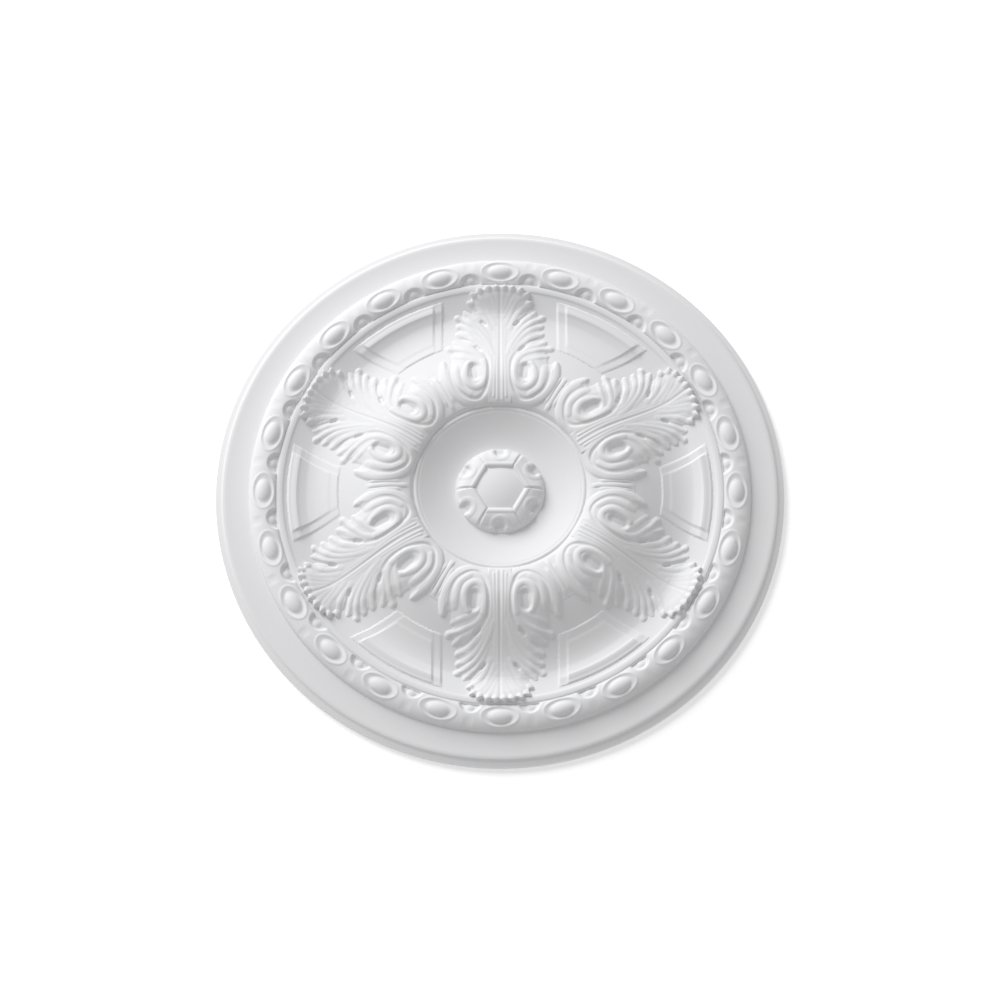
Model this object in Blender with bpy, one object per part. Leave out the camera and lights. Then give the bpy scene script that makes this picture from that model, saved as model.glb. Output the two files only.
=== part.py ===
"""Ceiling rose: one round casting with six acanthus leaves, lying face up on its flat back.

Metres, +Z towards the carved side, origin at the centre of the flat back.
One wedge of thirty degrees is drawn, mirrored and turned about the centre.
"""
import bmesh
import bpy
import math
import numpy as np
from mathutils import Matrix, Vector
from mathutils.geometry import delaunay_2d_cdt

# Outer size and rim
ROSE_RADIUS = 0.350
EDGE_HEIGHT = 0.0060
RIM_STEP_RADIUS = 0.3434
RIM_STEP_HEIGHT = 0.0084
RIM_STEP_RISE = 0.0006
RIM_TOP_RADIUS = 0.3370
RIM_TOP_HEIGHT = 0.0116

# Bead ring: a half-round band carrying oval beads in crossing ribbons
BEAD_COUNT = 24
BAND_FOOT_RADIUS = 0.3090
BAND_FOOT_HEIGHT = 0.0142
BAND_CREST_RADIUS = 0.2890
BAND_CREST_HEIGHT = 0.0252
BAND_INNER_RADIUS = 0.2756
BAND_INNER_HEIGHT = 0.0198
BEAD_CENTRE_RADIUS = 0.2908
BEAD_HALF_LENGTH = 0.0160
BEAD_HALF_WIDTH = 0.0090
BEAD_RISE = 0.0030
BEAD_GROOVE_WIDTH = 0.0026
BEAD_GROOVE_DEPTH = 0.0018
RIBBON_SWING = 0.0125
RIBBON_HALF_WIDTH = 0.0048
GAP_DEPTH_INNER = 0.0046
GAP_DEPTH_OUTER = 0.0005
SCALLOP_RADIUS = 0.0085
SCALLOP_RISE = 0.0032
BEAD_RINGS = ((0.0, 1), (0.72, 8), (1.0, 8), (1.36, 8))

# Round fillet and the deep cove inside the bead ring
FILLET_RADIUS = 0.2722
FILLET_HEIGHT = 0.0214
FILLET_FOOT_RADIUS = 0.2662
FILLET_FOOT_HEIGHT = 0.0190
COVE_RADIUS = 0.2380
COVE_HEIGHT = 0.0110

# Inner roll, its ledge with a fine ring, and the dish
ROLL_RADIUS = 0.1360
ROLL_HEIGHT = 0.0452
LEDGE_RADIUS = 0.1070
LEDGE_HEIGHT = 0.0375
DISH_RADIUS = 0.0995
DISH_EDGE_HEIGHT = 0.0364
RING_RISE = 0.0016
DISH_FLOOR_RADIUS = 0.0550
DISH_FLOOR_HEIGHT = 0.0215

# Centre boss: six petals, each turned over round a hollow, about a domed six-sided button
BOSS_SHOULDER_RADIUS = 0.0480
BOSS_SHOULDER_HEIGHT = 0.0290
BUTTON_RADIUS = 0.0300
BUTTON_EDGE_HEIGHT = 0.0336
BUTTON_CROWN_HEIGHT = 0.0382
BUTTON_STEP_WIDTH = 0.0018
PETAL_STEP = 0.0022
PETAL_BULGE = 0.0018
SEAM_HALF_WIDTH = 0.0024
SEAM_DEPTH = 0.0026
HOLLOW_RADIUS = 0.0078
HOLLOW_CENTRE = 0.0480
HOLLOW_DEPTH = 0.0042

# Coffers between the leaves
COFFER_SIDE = 0.0730
COFFER_SIDE_STEP = 0.0078
COFFER_OUTER_RADIUS = 0.2596
COFFER_PANEL_OUTER_RADIUS = 0.2475
COFFER_PANEL_INNER_RADIUS = 0.2090
COFFER_INNER_RADIUS = 0.2010
PANEL_INNER_RISE = 0.0022
PANEL_OUTER_RISE = 0.0032
PANEL_DISH = 0.0016
RISER = 0.0005
BAND_RISE = 0.0012
STEP_WIDTH = 0.0020

# Leaves
LEAF_COUNT = 6
LEAF_FOOT_RADIUS = LEDGE_RADIUS + 0.0005
LEAF_TIP_RADIUS = 0.2737
LEAF_THICKNESS = 0.0038
LEAF_EDGE = 0.0034
RIB_RISE = 0.0016
TIP_CURL = 0.0142
EYE_DEPTH = 0.0040
MIDRIB_GROOVE = 0.0012

# Fineness of the faceted surface
WEDGE_DIVISIONS = 8
SAMPLE_STEP = 0.0132
CLOSEST = 0.0044
CLOSEST_ON_LINE = 0.0008
CLOSEST_ON_BEAD = 0.0022
CLOSEST_ON_BOSS = 0.0018
CLOSEST_ON_FLUTE = 0.0024
CLOSEST_ON_ROLL = 0.0060
OUTLINE_OVERLAP = 0.0004
IN_GROOVE_SHARE = 0.35
DISH_SHARES = (0.3, 0.6, 1.0)
SCALLOP_FOOT_SHARE = 0.4
SCALLOP_SIDE_SHARE = 0.8
SCALLOP_HEIGHT_SHARE = 0.6
BAND_SIDE_SHARE = 0.6
PANEL_SHARES = (0.78, 0.89, 1.0)
GROOVE_SHARE = 0.95
BUTTON_SHARES = (0.4, 0.7)
PETAL_SHARES = (0.45, 0.75)
BOSS_WALL_SHARE = 0.8
SHOULDER_SHARES = (0.0, 0.25, 0.5, 0.8, 1.0)
ROLL_INNER_SHARES = (0.38, 0.72, 1.0)
ROLL_OUTER_SHARES = (0.16, 0.31, 0.47)

SURFACE_NAME = "ceiling_rose"
HALF_SECTOR = math.pi / LEAF_COUNT
BUTTON_FLAT = BUTTON_RADIUS * math.cos(HALF_SECTOR)

# The leaf is drawn on a grid of 1000 to the radius; its foot and tip lines are pinned to the mouldings
GRID = 1000.0
GRID_FOOT = 307.0
GRID_TIP = 782.0
ACROSS_SCALE = 0.350

# Half-leaf ribs: half width, share of the full rib rise, and the points that the crest passes
RIBS = (
    (16, 1.00, ((197, 463), (200, 428), (190, 382), (160, 333), (112, 307), (62, 314), (33, 356),
                (22, 440), (23, 505), (50, 560), (92, 605), (128, 642))),
    (14, 1.00, ((166, 530), (120, 521), (80, 504), (55, 465), (51, 412), (64, 377), (88, 369),
                (112, 386), (117, 424), (104, 453))),
    (13, 0.80, ((158, 447), (151, 405), (138, 363), (106, 338))),
    (12, 0.90, ((24, 500), (48, 582), (92, 645), (134, 674))),
    (10, 0.70, ((134, 674), (150, 668), (148, 652), (128, 642))),
    (10, 0.80, ((40, 535), (82, 580), (138, 617))),
    (12, 0.90, ((42, 520), (82, 558), (150, 592))),
    (11, 0.80, ((50, 505), (88, 546), (150, 553))),
    (11, 0.80, ((74, 462), (112, 487), (162, 492))),
    (12, 0.80, ((14, 470), (15, 600), (20, 700), (20, 764))),
    (12, 0.90, ((36, 620), (62, 682), (110, 722))),
    (10, 0.80, ((30, 680), (58, 728), (96, 748))),
    (9, 0.80, ((24, 700), (44, 738), (62, 758))),
)

# Broad strokes that fill the leaf under its ribs
PLATES = (
    (62, ((100, 372), (112, 420), (110, 450))),
    (40, ((0, 345), (0, 560))),
    (38, ((30, 520), (100, 515), (128, 522))),
    (34, ((30, 560), (80, 570), (108, 585))),
    (30, ((30, 600), (80, 640), (112, 655))),
    (34, ((0, 600), (0, 690), (0, 738))),
    (26, ((20, 690), (66, 718), (80, 722))),
)

# Flutes that fan out between the scrolls of neighbouring leaves, mirrored about the coffer's axis
FAN_ANGLES = (0.0, 2.4, 4.7)
FAN_OUTER = (0.1640, 0.1600, 0.1530)
FAN_INNER = (0.1160, 0.1240, 0.1330)
FAN_HALF_WIDTH = 0.0030
FAN_RISE = 0.0026


def clear_scene():
    for item in list(bpy.data.objects):
        bpy.data.objects.remove(item, do_unlink=True)


def smooth_step(share):
    share = np.clip(share, 0.0, 1.0)
    return share * share * (3.0 - 2.0 * share)


def straight(share):
    return share


def round_up(share):
    return np.sqrt(np.clip(1.0 - (1.0 - share) ** 2, 0.0, 1.0))


def round_over(share):
    return 1.0 - np.sqrt(np.clip(1.0 - share ** 2, 0.0, 1.0))


def hollow_up(share):
    return share ** 2


def hollow_down(share):
    return 1.0 - (1.0 - share) ** 1.6


def long_hollow_down(share):
    return 1.0 - (1.0 - share) ** 1.25


# The turned mouldings from the rim inwards: radius, height and the curve that leads to the next
MOULDINGS = (
    (ROSE_RADIUS, EDGE_HEIGHT, straight),
    (RIM_STEP_RADIUS, RIM_STEP_HEIGHT, straight),
    (RIM_STEP_RADIUS - RIM_STEP_RISE, RIM_STEP_HEIGHT + RIM_STEP_RISE, round_up),
    (RIM_TOP_RADIUS, RIM_TOP_HEIGHT, hollow_up),
    (BAND_FOOT_RADIUS, BAND_FOOT_HEIGHT, round_up),
    (BAND_CREST_RADIUS, BAND_CREST_HEIGHT, round_over),
    (BAND_INNER_RADIUS, BAND_INNER_HEIGHT, straight),
    (FILLET_RADIUS, FILLET_HEIGHT, straight),
    (FILLET_FOOT_RADIUS, FILLET_FOOT_HEIGHT, long_hollow_down),
    (COVE_RADIUS, COVE_HEIGHT, smooth_step),
    (ROLL_RADIUS, ROLL_HEIGHT, round_over),
    (LEDGE_RADIUS, LEDGE_HEIGHT, straight),
    (DISH_RADIUS, DISH_EDGE_HEIGHT, hollow_down),
    (DISH_FLOOR_RADIUS, DISH_FLOOR_HEIGHT, smooth_step),
    (BOSS_SHOULDER_RADIUS, BOSS_SHOULDER_HEIGHT, round_up),
    (BUTTON_RADIUS, BUTTON_EDGE_HEIGHT, round_up),
    (0.0, BUTTON_CROWN_HEIGHT, straight),
)


def ground_height(radius):
    """Height of the turned surface, before any carving, at each radius."""
    height = np.full(radius.shape, BUTTON_CROWN_HEIGHT)
    for outer, inner in zip(MOULDINGS[:-1], MOULDINGS[1:]):
        share = (outer[0] - radius) / (outer[0] - inner[0])
        inside = (share >= 0.0) & (share <= 1.0)
        bend = outer[2](np.clip(share, 0.0, 1.0))
        height = np.where(inside, outer[1] + (inner[1] - outer[1]) * bend, height)
    return np.where(radius > ROSE_RADIUS, EDGE_HEIGHT, height)


def fine_ring(radius):
    centre = (LEDGE_RADIUS + DISH_RADIUS) / 2.0
    reach = (LEDGE_RADIUS - DISH_RADIUS) / 3.0
    return RING_RISE * np.clip(1.0 - ((radius - centre) / reach) ** 2, 0.0, None)


def curve_through(corners, step):
    """Points at about one step along a smooth curve that passes each corner."""
    corners = [Vector(corner) for corner in corners]
    ends = [2 * corners[0] - corners[1]] + corners + [2 * corners[-1] - corners[-2]]
    points = [corners[0]]
    for before, start, stop, after in zip(ends, ends[1:], ends[2:], ends[3:]):
        count = max(1, round((stop - start).length / step))
        for index in range(1, count + 1):
            t = index / count
            point = 2 * start + (stop - before) * t
            point += (2 * before - 5 * start + 4 * stop - after) * t * t
            point += (3 * start - 3 * stop + after - before) * t ** 3
            points.append(point / 2)
    return points


def on_leaf(corner):
    """Turn a point of the leaf's drawing into metres across and out along the leaf's axis."""
    length = LEAF_TIP_RADIUS - LEAF_FOOT_RADIUS
    along = (corner[1] - GRID_FOOT) / (GRID_TIP - GRID_FOOT)
    return Vector((corner[0] / GRID * ACROSS_SCALE, LEAF_FOOT_RADIUS + along * length))


def stroke_line(corners, step):
    return curve_through([on_leaf(corner) for corner in corners], step)


def distance_to(line, across, out):
    """Distance from each point to a drawn line."""
    nearest = np.full(across.shape, np.inf)
    for start, stop in zip(line, line[1:]):
        run = stop - start
        size = max(run.length_squared, 1e-12)
        share = ((across - start.x) * run.x + (out - start.y) * run.y) / size
        share = np.clip(share, 0.0, 1.0)
        gap = np.hypot(across - start.x - share * run.x, out - start.y - share * run.y)
        nearest = np.minimum(nearest, gap)
    return nearest


LINE_STEP = 0.004
RIB_LINES = [(width / GRID * ACROSS_SCALE, rise, stroke_line(corners, LINE_STEP))
             for width, rise, corners in RIBS]
PLATE_LINES = [(width / GRID * ACROSS_SCALE, stroke_line(corners, LINE_STEP))
               for width, corners in PLATES]


def leaf_margin(across, out):
    """How far inside the leaf's outline each point lies; negative outside."""
    margin = np.full(across.shape, -np.inf)
    for width, line in PLATE_LINES:
        margin = np.maximum(margin, width - distance_to(line, across, out))
    for width, rise, line in RIB_LINES:
        margin = np.maximum(margin, width - distance_to(line, across, out))
    return margin


def rib_relief(across, out):
    relief = np.zeros(across.shape)
    for width, rise, line in RIB_LINES:
        dome = 1.0 - (distance_to(line, across, out) / width) ** 2
        relief = np.maximum(relief, RIB_RISE * rise * dome)
    return relief


EYE_LINE = stroke_line(((86, 408), (84, 428), (93, 452)), LINE_STEP)
EYE_HALF_WIDTH = 0.0065
MIDRIB_LINE = stroke_line(((0, 440), (0, 720)), LINE_STEP)
MIDRIB_HALF_WIDTH = 0.0035
CURL_START_RADIUS = 0.2400
CURL_END_RADIUS = LEAF_TIP_RADIUS - 0.0047
CURL_BEND = 1.4


def leaf_relief(across, out):
    """Height of one acanthus leaf over the turned surface; its tip springs clear of the fillet."""
    across = np.abs(across)
    body = smooth_step(leaf_margin(across, out) / LEAF_EDGE)
    share = np.clip((out - CURL_START_RADIUS) / (CURL_END_RADIUS - CURL_START_RADIUS), 0.0, 1.0)
    relief = body * (LEAF_THICKNESS + TIP_CURL * share ** CURL_BEND + rib_relief(across, out))
    radius = np.hypot(across, out)
    spring = ground_height(np.minimum(radius, CURL_START_RADIUS)) - ground_height(radius)
    relief = np.maximum(relief + spring, 0.0)
    eye = np.clip(1.0 - (distance_to(EYE_LINE, across, out) / EYE_HALF_WIDTH) ** 2, 0.0, None)
    groove = np.clip(1.0 - (distance_to(MIDRIB_LINE, across, out) / MIDRIB_HALF_WIDTH) ** 2, 0.0, None)
    return relief - EYE_DEPTH * eye - MIDRIB_GROOVE * groove


def fan_lines():
    """The flutes on one side of the coffer's axis, in the leaf's own directions."""
    lines = []
    for angle, outer, inner in zip(FAN_ANGLES, FAN_OUTER, FAN_INNER):
        turn = HALF_SECTOR - math.radians(angle)
        direction = Vector((math.sin(turn), math.cos(turn)))
        lines.append([direction * inner, direction * (outer + inner) / 2, direction * outer])
    return lines


def fan_relief(across, out):
    relief = np.zeros(across.shape)
    for line in fan_lines():
        dome = 1.0 - (distance_to(line, across, out) / FAN_HALF_WIDTH) ** 2
        relief = np.maximum(relief, FAN_RISE * dome)
    return relief


def bead_relief(radius, angle):
    """Beads, the groove round each, and the ribbons that cross between them."""
    pitch = 2.0 * math.pi / BEAD_COUNT
    turn = (angle + pitch / 2.0) % pitch - pitch / 2.0
    along = turn * BEAD_CENTRE_RADIUS
    over = radius - BEAD_CENTRE_RADIUS
    oval = np.hypot(along / BEAD_HALF_LENGTH, over / BEAD_HALF_WIDTH)
    bead = BEAD_RISE * np.sqrt(np.clip(1.0 - oval ** 2, 0.0, None))
    beyond = (oval - 1.0) * BEAD_HALF_WIDTH / BEAD_GROOVE_WIDTH
    groove = np.clip(1.0 - beyond ** 2, 0.0, None) * (oval > 0.8)
    swing = RIBBON_SWING * np.cos(math.pi * turn / pitch)
    reach = np.abs(over) - swing - RIBBON_HALF_WIDTH
    in_gap = smooth_step(reach / RIBBON_HALF_WIDTH + 0.5)
    on_band = (radius < BAND_FOOT_RADIUS) & (radius > BAND_INNER_RADIUS)
    foot = np.where(over > 0, (BAND_FOOT_RADIUS - radius), (radius - BAND_INNER_RADIUS))
    fade = smooth_step(foot / RIBBON_HALF_WIDTH)
    gap = np.where(over > 0, GAP_DEPTH_OUTER, GAP_DEPTH_INNER) * in_gap * fade
    half_gap = BEAD_CENTRE_RADIUS * (pitch / 2.0 - np.abs(turn))
    scallop = 1.0 - np.hypot(half_gap, radius - BAND_INNER_RADIUS) / SCALLOP_RADIUS
    lump = SCALLOP_RISE * np.sqrt(np.clip(scallop, 0.0, None)) * (radius > BAND_INNER_RADIUS)
    return np.where(on_band, bead - BEAD_GROOVE_DEPTH * groove - gap + lump, 0.0)


def coffer_relief(radius, angle):
    """A raised panel between two leaves, with bevelled sides, a stepped inner edge and an outer band."""
    side = radius * np.sin(angle) - COFFER_SIDE
    along = (radius - COFFER_INNER_RADIUS) / (COFFER_PANEL_OUTER_RADIUS - COFFER_INNER_RADIUS)
    along = np.clip(along, 0.0, 1.0)
    panel = PANEL_INNER_RISE + (PANEL_OUTER_RISE - PANEL_INNER_RISE) * along + PANEL_DISH * along ** 3
    low = RISER / PANEL_OUTER_RISE
    across = (-STEP_WIDTH, 0.0, COFFER_SIDE_STEP, COFFER_SIDE_STEP + STEP_WIDTH)
    beside = np.interp(side, across, (0.0, low, 1.0 - low, 1.0))
    tread = COFFER_PANEL_INNER_RADIUS - COFFER_INNER_RADIUS
    across = (-STEP_WIDTH, 0.0, tread, tread + STEP_WIDTH)
    within = np.interp(radius - COFFER_INNER_RADIUS, across, (0.0, 1.0 - low, 1.0 - low, 1.0))
    without = np.interp(radius - COFFER_OUTER_RADIUS, (0.0, STEP_WIDTH), (1.0, 0.0))
    band = np.interp(radius - COFFER_PANEL_OUTER_RADIUS, (-STEP_WIDTH, 0.0), (0.0, BAND_RISE))
    top = ground_height(np.minimum(radius, COFFER_PANEL_OUTER_RADIUS)) + panel + band
    return np.minimum(np.minimum(beside, within), without) * (top - ground_height(radius))


def boss_height(radius, angle):
    """Height of the boss: a seam between petals, a step round the button, a hollow in each petal."""
    flat, across = radius * np.cos(angle), radius * np.sin(angle)
    button = BUTTON_CROWN_HEIGHT - (BUTTON_CROWN_HEIGHT - BUTTON_EDGE_HEIGHT) * (radius / BUTTON_RADIUS) ** 2
    outward = np.clip((flat - BUTTON_FLAT) / (BOSS_SHOULDER_RADIUS - BUTTON_FLAT), 0.0, 1.0)
    inner = BUTTON_EDGE_HEIGHT + PETAL_STEP
    petal = inner + (BOSS_SHOULDER_HEIGHT - inner) * outward ** 1.5 + PETAL_BULGE * np.sin(math.pi * outward)
    from_seam = radius * np.sin(HALF_SECTOR - angle) / SEAM_HALF_WIDTH
    petal = petal - SEAM_DEPTH * (1.0 - smooth_step(from_seam / (0.5 + outward)))
    from_hollow = np.hypot(across, np.minimum(flat - HOLLOW_CENTRE, 0.0)) / HOLLOW_RADIUS
    petal = petal - HOLLOW_DEPTH * smooth_step(2.0 - 2.0 * from_hollow)
    down = (radius - BOSS_SHOULDER_RADIUS) / (DISH_FLOOR_RADIUS - BOSS_SHOULDER_RADIUS)
    wall = 1.0 - round_over(np.clip(down, 0.0, 1.0))
    petal = DISH_FLOOR_HEIGHT + (petal - DISH_FLOOR_HEIGHT) * wall
    over = smooth_step((flat - BUTTON_FLAT) / BUTTON_STEP_WIDTH)
    return button + (petal - button) * over


def relief_height(x, y):
    """Height above the back of the carved face, for points in one half sector."""
    radius = np.hypot(x, y)
    angle = np.arctan2(x, y)
    height = ground_height(radius) + fine_ring(radius)
    height = np.where(radius < DISH_FLOOR_RADIUS, boss_height(radius, angle), height)
    height = height + bead_relief(radius, angle)
    height = height + coffer_relief(radius, angle)
    carved = np.maximum(leaf_relief(x, y), fan_relief(x, y))
    in_leaf_zone = (radius > LEDGE_RADIUS) & (radius < BAND_CREST_RADIUS)
    return height + np.where(in_leaf_zone, carved, 0.0)


class Sheet:
    """Points and lines of the wedge, before it is cut into triangles."""

    def __init__(self):
        self.points = []
        self.lines = []

    def add(self, x, y, closest=CLOSEST):
        """Index of a new point, of one already close by, or None outside the wedge."""
        radius = math.hypot(x, y)
        angle = math.atan2(x, y)
        if radius > ROSE_RADIUS * 1.0001:
            return None
        if radius * math.sin(angle) < -closest or radius * math.sin(angle - HALF_SECTOR) > closest:
            return None
        if abs(radius * math.sin(angle)) < closest / 2:
            x, y = 0.0, radius
        if abs(radius * math.sin(angle - HALF_SECTOR)) < closest / 2:
            x, y = radius * math.sin(HALF_SECTOR), radius * math.cos(HALF_SECTOR)
        if x < 0 or math.atan2(x, y) > HALF_SECTOR + 1e-9:
            return None
        for index, point in enumerate(self.points):
            if math.hypot(point.x - x, point.y - y) < closest:
                return index
        self.points.append(Vector((x, y)))
        return len(self.points) - 1

    def line(self, indices):
        for first, second in zip(indices, indices[1:]):
            if first is not None and second is not None and first != second:
                self.lines.append((first, second))


def add_ring(sheet, radius, divisions):
    """A turned line across the wedge, left out where the leaf covers it."""
    indices = []
    for step in range(divisions + 1):
        angle = HALF_SECTOR * step / divisions
        x, y = radius * math.sin(angle), radius * math.cos(angle)
        covered = leaf_margin(np.array([x]), np.array([y]))[0] > 0 and LEDGE_RADIUS < radius < FILLET_RADIUS
        indices.append(None if covered else sheet.add(x, y, CLOSEST_ON_LINE))
    sheet.line(indices)


def add_mouldings(sheet):
    for radius in (ROSE_RADIUS, RIM_STEP_RADIUS, RIM_TOP_RADIUS):
        add_ring(sheet, radius, WEDGE_DIVISIONS)
    for radius in (BAND_FOOT_RADIUS, BAND_INNER_RADIUS, FILLET_RADIUS, FILLET_FOOT_RADIUS):
        add_ring(sheet, radius, WEDGE_DIVISIONS)
    add_ring(sheet, (RIM_TOP_RADIUS + BAND_FOOT_RADIUS) / 2, WEDGE_DIVISIONS // 2)
    for radius in (LEDGE_RADIUS, (LEDGE_RADIUS + DISH_RADIUS) / 2, DISH_RADIUS):
        add_ring(sheet, radius, WEDGE_DIVISIONS - 2)
    dish = DISH_RADIUS - DISH_FLOOR_RADIUS
    for share in DISH_SHARES:
        add_ring(sheet, DISH_RADIUS - dish * share, WEDGE_DIVISIONS // 2)


def add_beads(sheet):
    pitch = 2.0 * math.pi / BEAD_COUNT
    for bead in range(3):
        centre = bead * pitch
        for scale, corners in BEAD_RINGS:
            for corner in range(corners):
                turn = 2.0 * math.pi * corner / corners
                radius = BEAD_CENTRE_RADIUS + BEAD_HALF_WIDTH * scale * math.cos(turn)
                angle = centre + BEAD_HALF_LENGTH * scale * math.sin(turn) / BEAD_CENTRE_RADIUS
                sheet.add(radius * math.sin(angle), radius * math.cos(angle), CLOSEST_ON_BEAD)
    for gap in range(2):
        centre = (gap + 0.5) * pitch
        for radius in (BAND_CREST_RADIUS, BAND_INNER_RADIUS + SCALLOP_RADIUS,
                       BAND_INNER_RADIUS + SCALLOP_FOOT_SHARE * SCALLOP_RADIUS):
            sheet.add(radius * math.sin(centre), radius * math.cos(centre), CLOSEST_ON_BEAD)
        for side in (-1, 1):
            angle = centre + side * SCALLOP_SIDE_SHARE * SCALLOP_RADIUS / BEAD_CENTRE_RADIUS
            radius = BAND_INNER_RADIUS + SCALLOP_HEIGHT_SHARE * SCALLOP_RADIUS
            sheet.add(radius * math.sin(angle), radius * math.cos(angle), CLOSEST_ON_BEAD)
            radius = BAND_CREST_RADIUS + BAND_SIDE_SHARE * (BAND_FOOT_RADIUS - BAND_CREST_RADIUS)
            sheet.add(radius * math.sin(angle), radius * math.cos(angle), CLOSEST_ON_BEAD)


def add_coffer(sheet):
    """Two lines along each edge of the frame and the panel, so that each step stands nearly upright."""
    for side, outer, inner, shifts in (
        (COFFER_SIDE, COFFER_OUTER_RADIUS, COFFER_INNER_RADIUS, (-STEP_WIDTH, 0.0)),
        (COFFER_SIDE + COFFER_SIDE_STEP, COFFER_PANEL_OUTER_RADIUS, COFFER_PANEL_INNER_RADIUS,
         (0.0, STEP_WIDTH)),
    ):
        for shift in shifts:
            across = side + shift
            indices = []
            for radius in (outer - shift, inner + shift):
                start = math.asin(across / radius)
                steps = 4 if radius > COVE_RADIUS else 2
                ring = []
                for step in range(steps + 1):
                    angle = start + (HALF_SECTOR - start) * step / steps
                    ring.append(sheet.add(radius * math.sin(angle), radius * math.cos(angle), CLOSEST_ON_LINE))
                sheet.line(ring)
                indices.append(ring[0])
            middle = math.sqrt(COVE_RADIUS ** 2 - across ** 2)
            indices.insert(1, sheet.add(across, middle, CLOSEST_ON_LINE))
            sheet.line(indices)
    for share in PANEL_SHARES:
        angle = HALF_SECTOR * share
        for radius in (COVE_RADIUS, (COVE_RADIUS + COFFER_PANEL_INNER_RADIUS) / 2):
            sheet.add(radius * math.sin(angle), radius * math.cos(angle))


def add_offsets(sheet, line, offset, allowed):
    """Points beside a line and round its ends, where the test allows them."""
    for index, point in enumerate(line):
        before = line[max(index - 1, 0)]
        after = line[min(index + 1, len(line) - 1)]
        along = (after - before).normalized()
        for side in (Vector((-along.y, along.x)), Vector((along.y, -along.x))):
            spot = point + side * offset
            if spot.x > -offset / 4 and allowed(np.array([spot.x]), np.array([spot.y])):
                sheet.add(max(spot.x, 0.0), spot.y)
        if index in (0, len(line) - 1):
            spot = point + along * (offset if index else -offset)
            if spot.x > 0 and allowed(np.array([spot.x]), np.array([spot.y])):
                sheet.add(spot.x, spot.y)


def add_leaf(sheet):
    for width, rise, corners in RIBS:
        sheet.line([sheet.add(point.x, point.y) for point in stroke_line(corners, SAMPLE_STEP)])
    for corners in (((86, 408), (84, 428), (93, 452)), ((0, 315), (0, 768))):
        sheet.line([sheet.add(point.x, point.y) for point in stroke_line(corners, SAMPLE_STEP)])

    def on_outline(across, out):
        return leaf_margin(across, out)[0] < OUTLINE_OVERLAP

    def on_top_edge(across, out):
        return leaf_margin(across, out)[0] < LEAF_EDGE + OUTLINE_OVERLAP

    def in_groove(across, out):
        return rib_relief(across, out)[0] < RIB_RISE * IN_GROOVE_SHARE

    for width, rise, line in RIB_LINES:
        coarse = line[::2]
        add_offsets(sheet, coarse, width, on_outline)
        add_offsets(sheet, coarse, width - LEAF_EDGE, on_top_edge)
        add_offsets(sheet, coarse, width * GROOVE_SHARE, in_groove)
    for width, line in PLATE_LINES:
        coarse = line[::2]
        add_offsets(sheet, coarse, width, on_outline)
        add_offsets(sheet, coarse, width - LEAF_EDGE, on_top_edge)


def beside_flutes(across, out):
    return fan_relief(across, out)[0] < OUTLINE_OVERLAP


def add_fan(sheet):
    for line in fan_lines():
        sheet.line([sheet.add(point.x, point.y, CLOSEST_ON_FLUTE) for point in line])
        add_offsets(sheet, line, FAN_HALF_WIDTH, beside_flutes)


def add_roll(sheet):
    radii = [LEDGE_RADIUS + (ROLL_RADIUS - LEDGE_RADIUS) * share for share in ROLL_INNER_SHARES]
    radii += [ROLL_RADIUS + (COVE_RADIUS - ROLL_RADIUS) * share for share in ROLL_OUTER_SHARES]
    for radius in radii:
        for step in range(5):
            angle = HALF_SECTOR * step / 4
            sheet.add(radius * math.sin(angle), radius * math.cos(angle), CLOSEST_ON_ROLL)


def add_boss(sheet):
    """Lines along the button's edge and the seams, rings on the petals, and points round the hollow."""
    sheet.add(0.0, 0.0, CLOSEST_ON_LINE)
    for radius in (BUTTON_RADIUS * share for share in BUTTON_SHARES):
        for share in (0.0, 0.5, 1.0):
            angle = HALF_SECTOR * share
            sheet.add(radius * math.sin(angle), radius * math.cos(angle), CLOSEST_ON_BOSS)
    petal = BOSS_SHOULDER_RADIUS - BUTTON_FLAT
    for beyond in (0.0, BUTTON_STEP_WIDTH, *(petal * share for share in PETAL_SHARES)):
        flat = BUTTON_FLAT + beyond
        side = flat * math.tan(HALF_SECTOR)
        seam = SEAM_HALF_WIDTH * (0.5 + beyond / petal) / math.cos(HALF_SECTOR)
        indices = []
        for across in (0.0, side / 2, side - seam, side):
            indices.append(sheet.add(across, flat, CLOSEST_ON_LINE))
        sheet.line(indices)
    wall = DISH_FLOOR_RADIUS - BOSS_SHOULDER_RADIUS
    for radius in (BOSS_SHOULDER_RADIUS, BOSS_SHOULDER_RADIUS + wall * BOSS_WALL_SHARE):
        for share in SHOULDER_SHARES:
            angle = HALF_SECTOR * share
            sheet.add(radius * math.sin(angle), radius * math.cos(angle), CLOSEST_ON_BOSS)
    for share in (0.5, 1.0):
        for turn in (0.0, math.pi / 4, math.pi / 2):
            across, back = HOLLOW_RADIUS * share * math.sin(turn), HOLLOW_RADIUS * share * math.cos(turn)
            sheet.add(across, HOLLOW_CENTRE - back, CLOSEST_ON_BOSS)


def draw_wedge():
    sheet = Sheet()
    add_mouldings(sheet)
    add_beads(sheet)
    add_coffer(sheet)
    add_boss(sheet)
    add_fan(sheet)
    add_leaf(sheet)
    add_roll(sheet)
    return sheet


def wedge_outline(sheet):
    """Lines along the two straight sides and the rim, so that mirrored copies meet."""
    for turn in (0.0, HALF_SECTOR):
        on_side = [index for index, point in enumerate(sheet.points)
                   if abs(point.x * math.cos(turn) - point.y * math.sin(turn)) < 1e-7]
        on_side.sort(key=lambda index: sheet.points[index].length)
        sheet.line(on_side)


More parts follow.
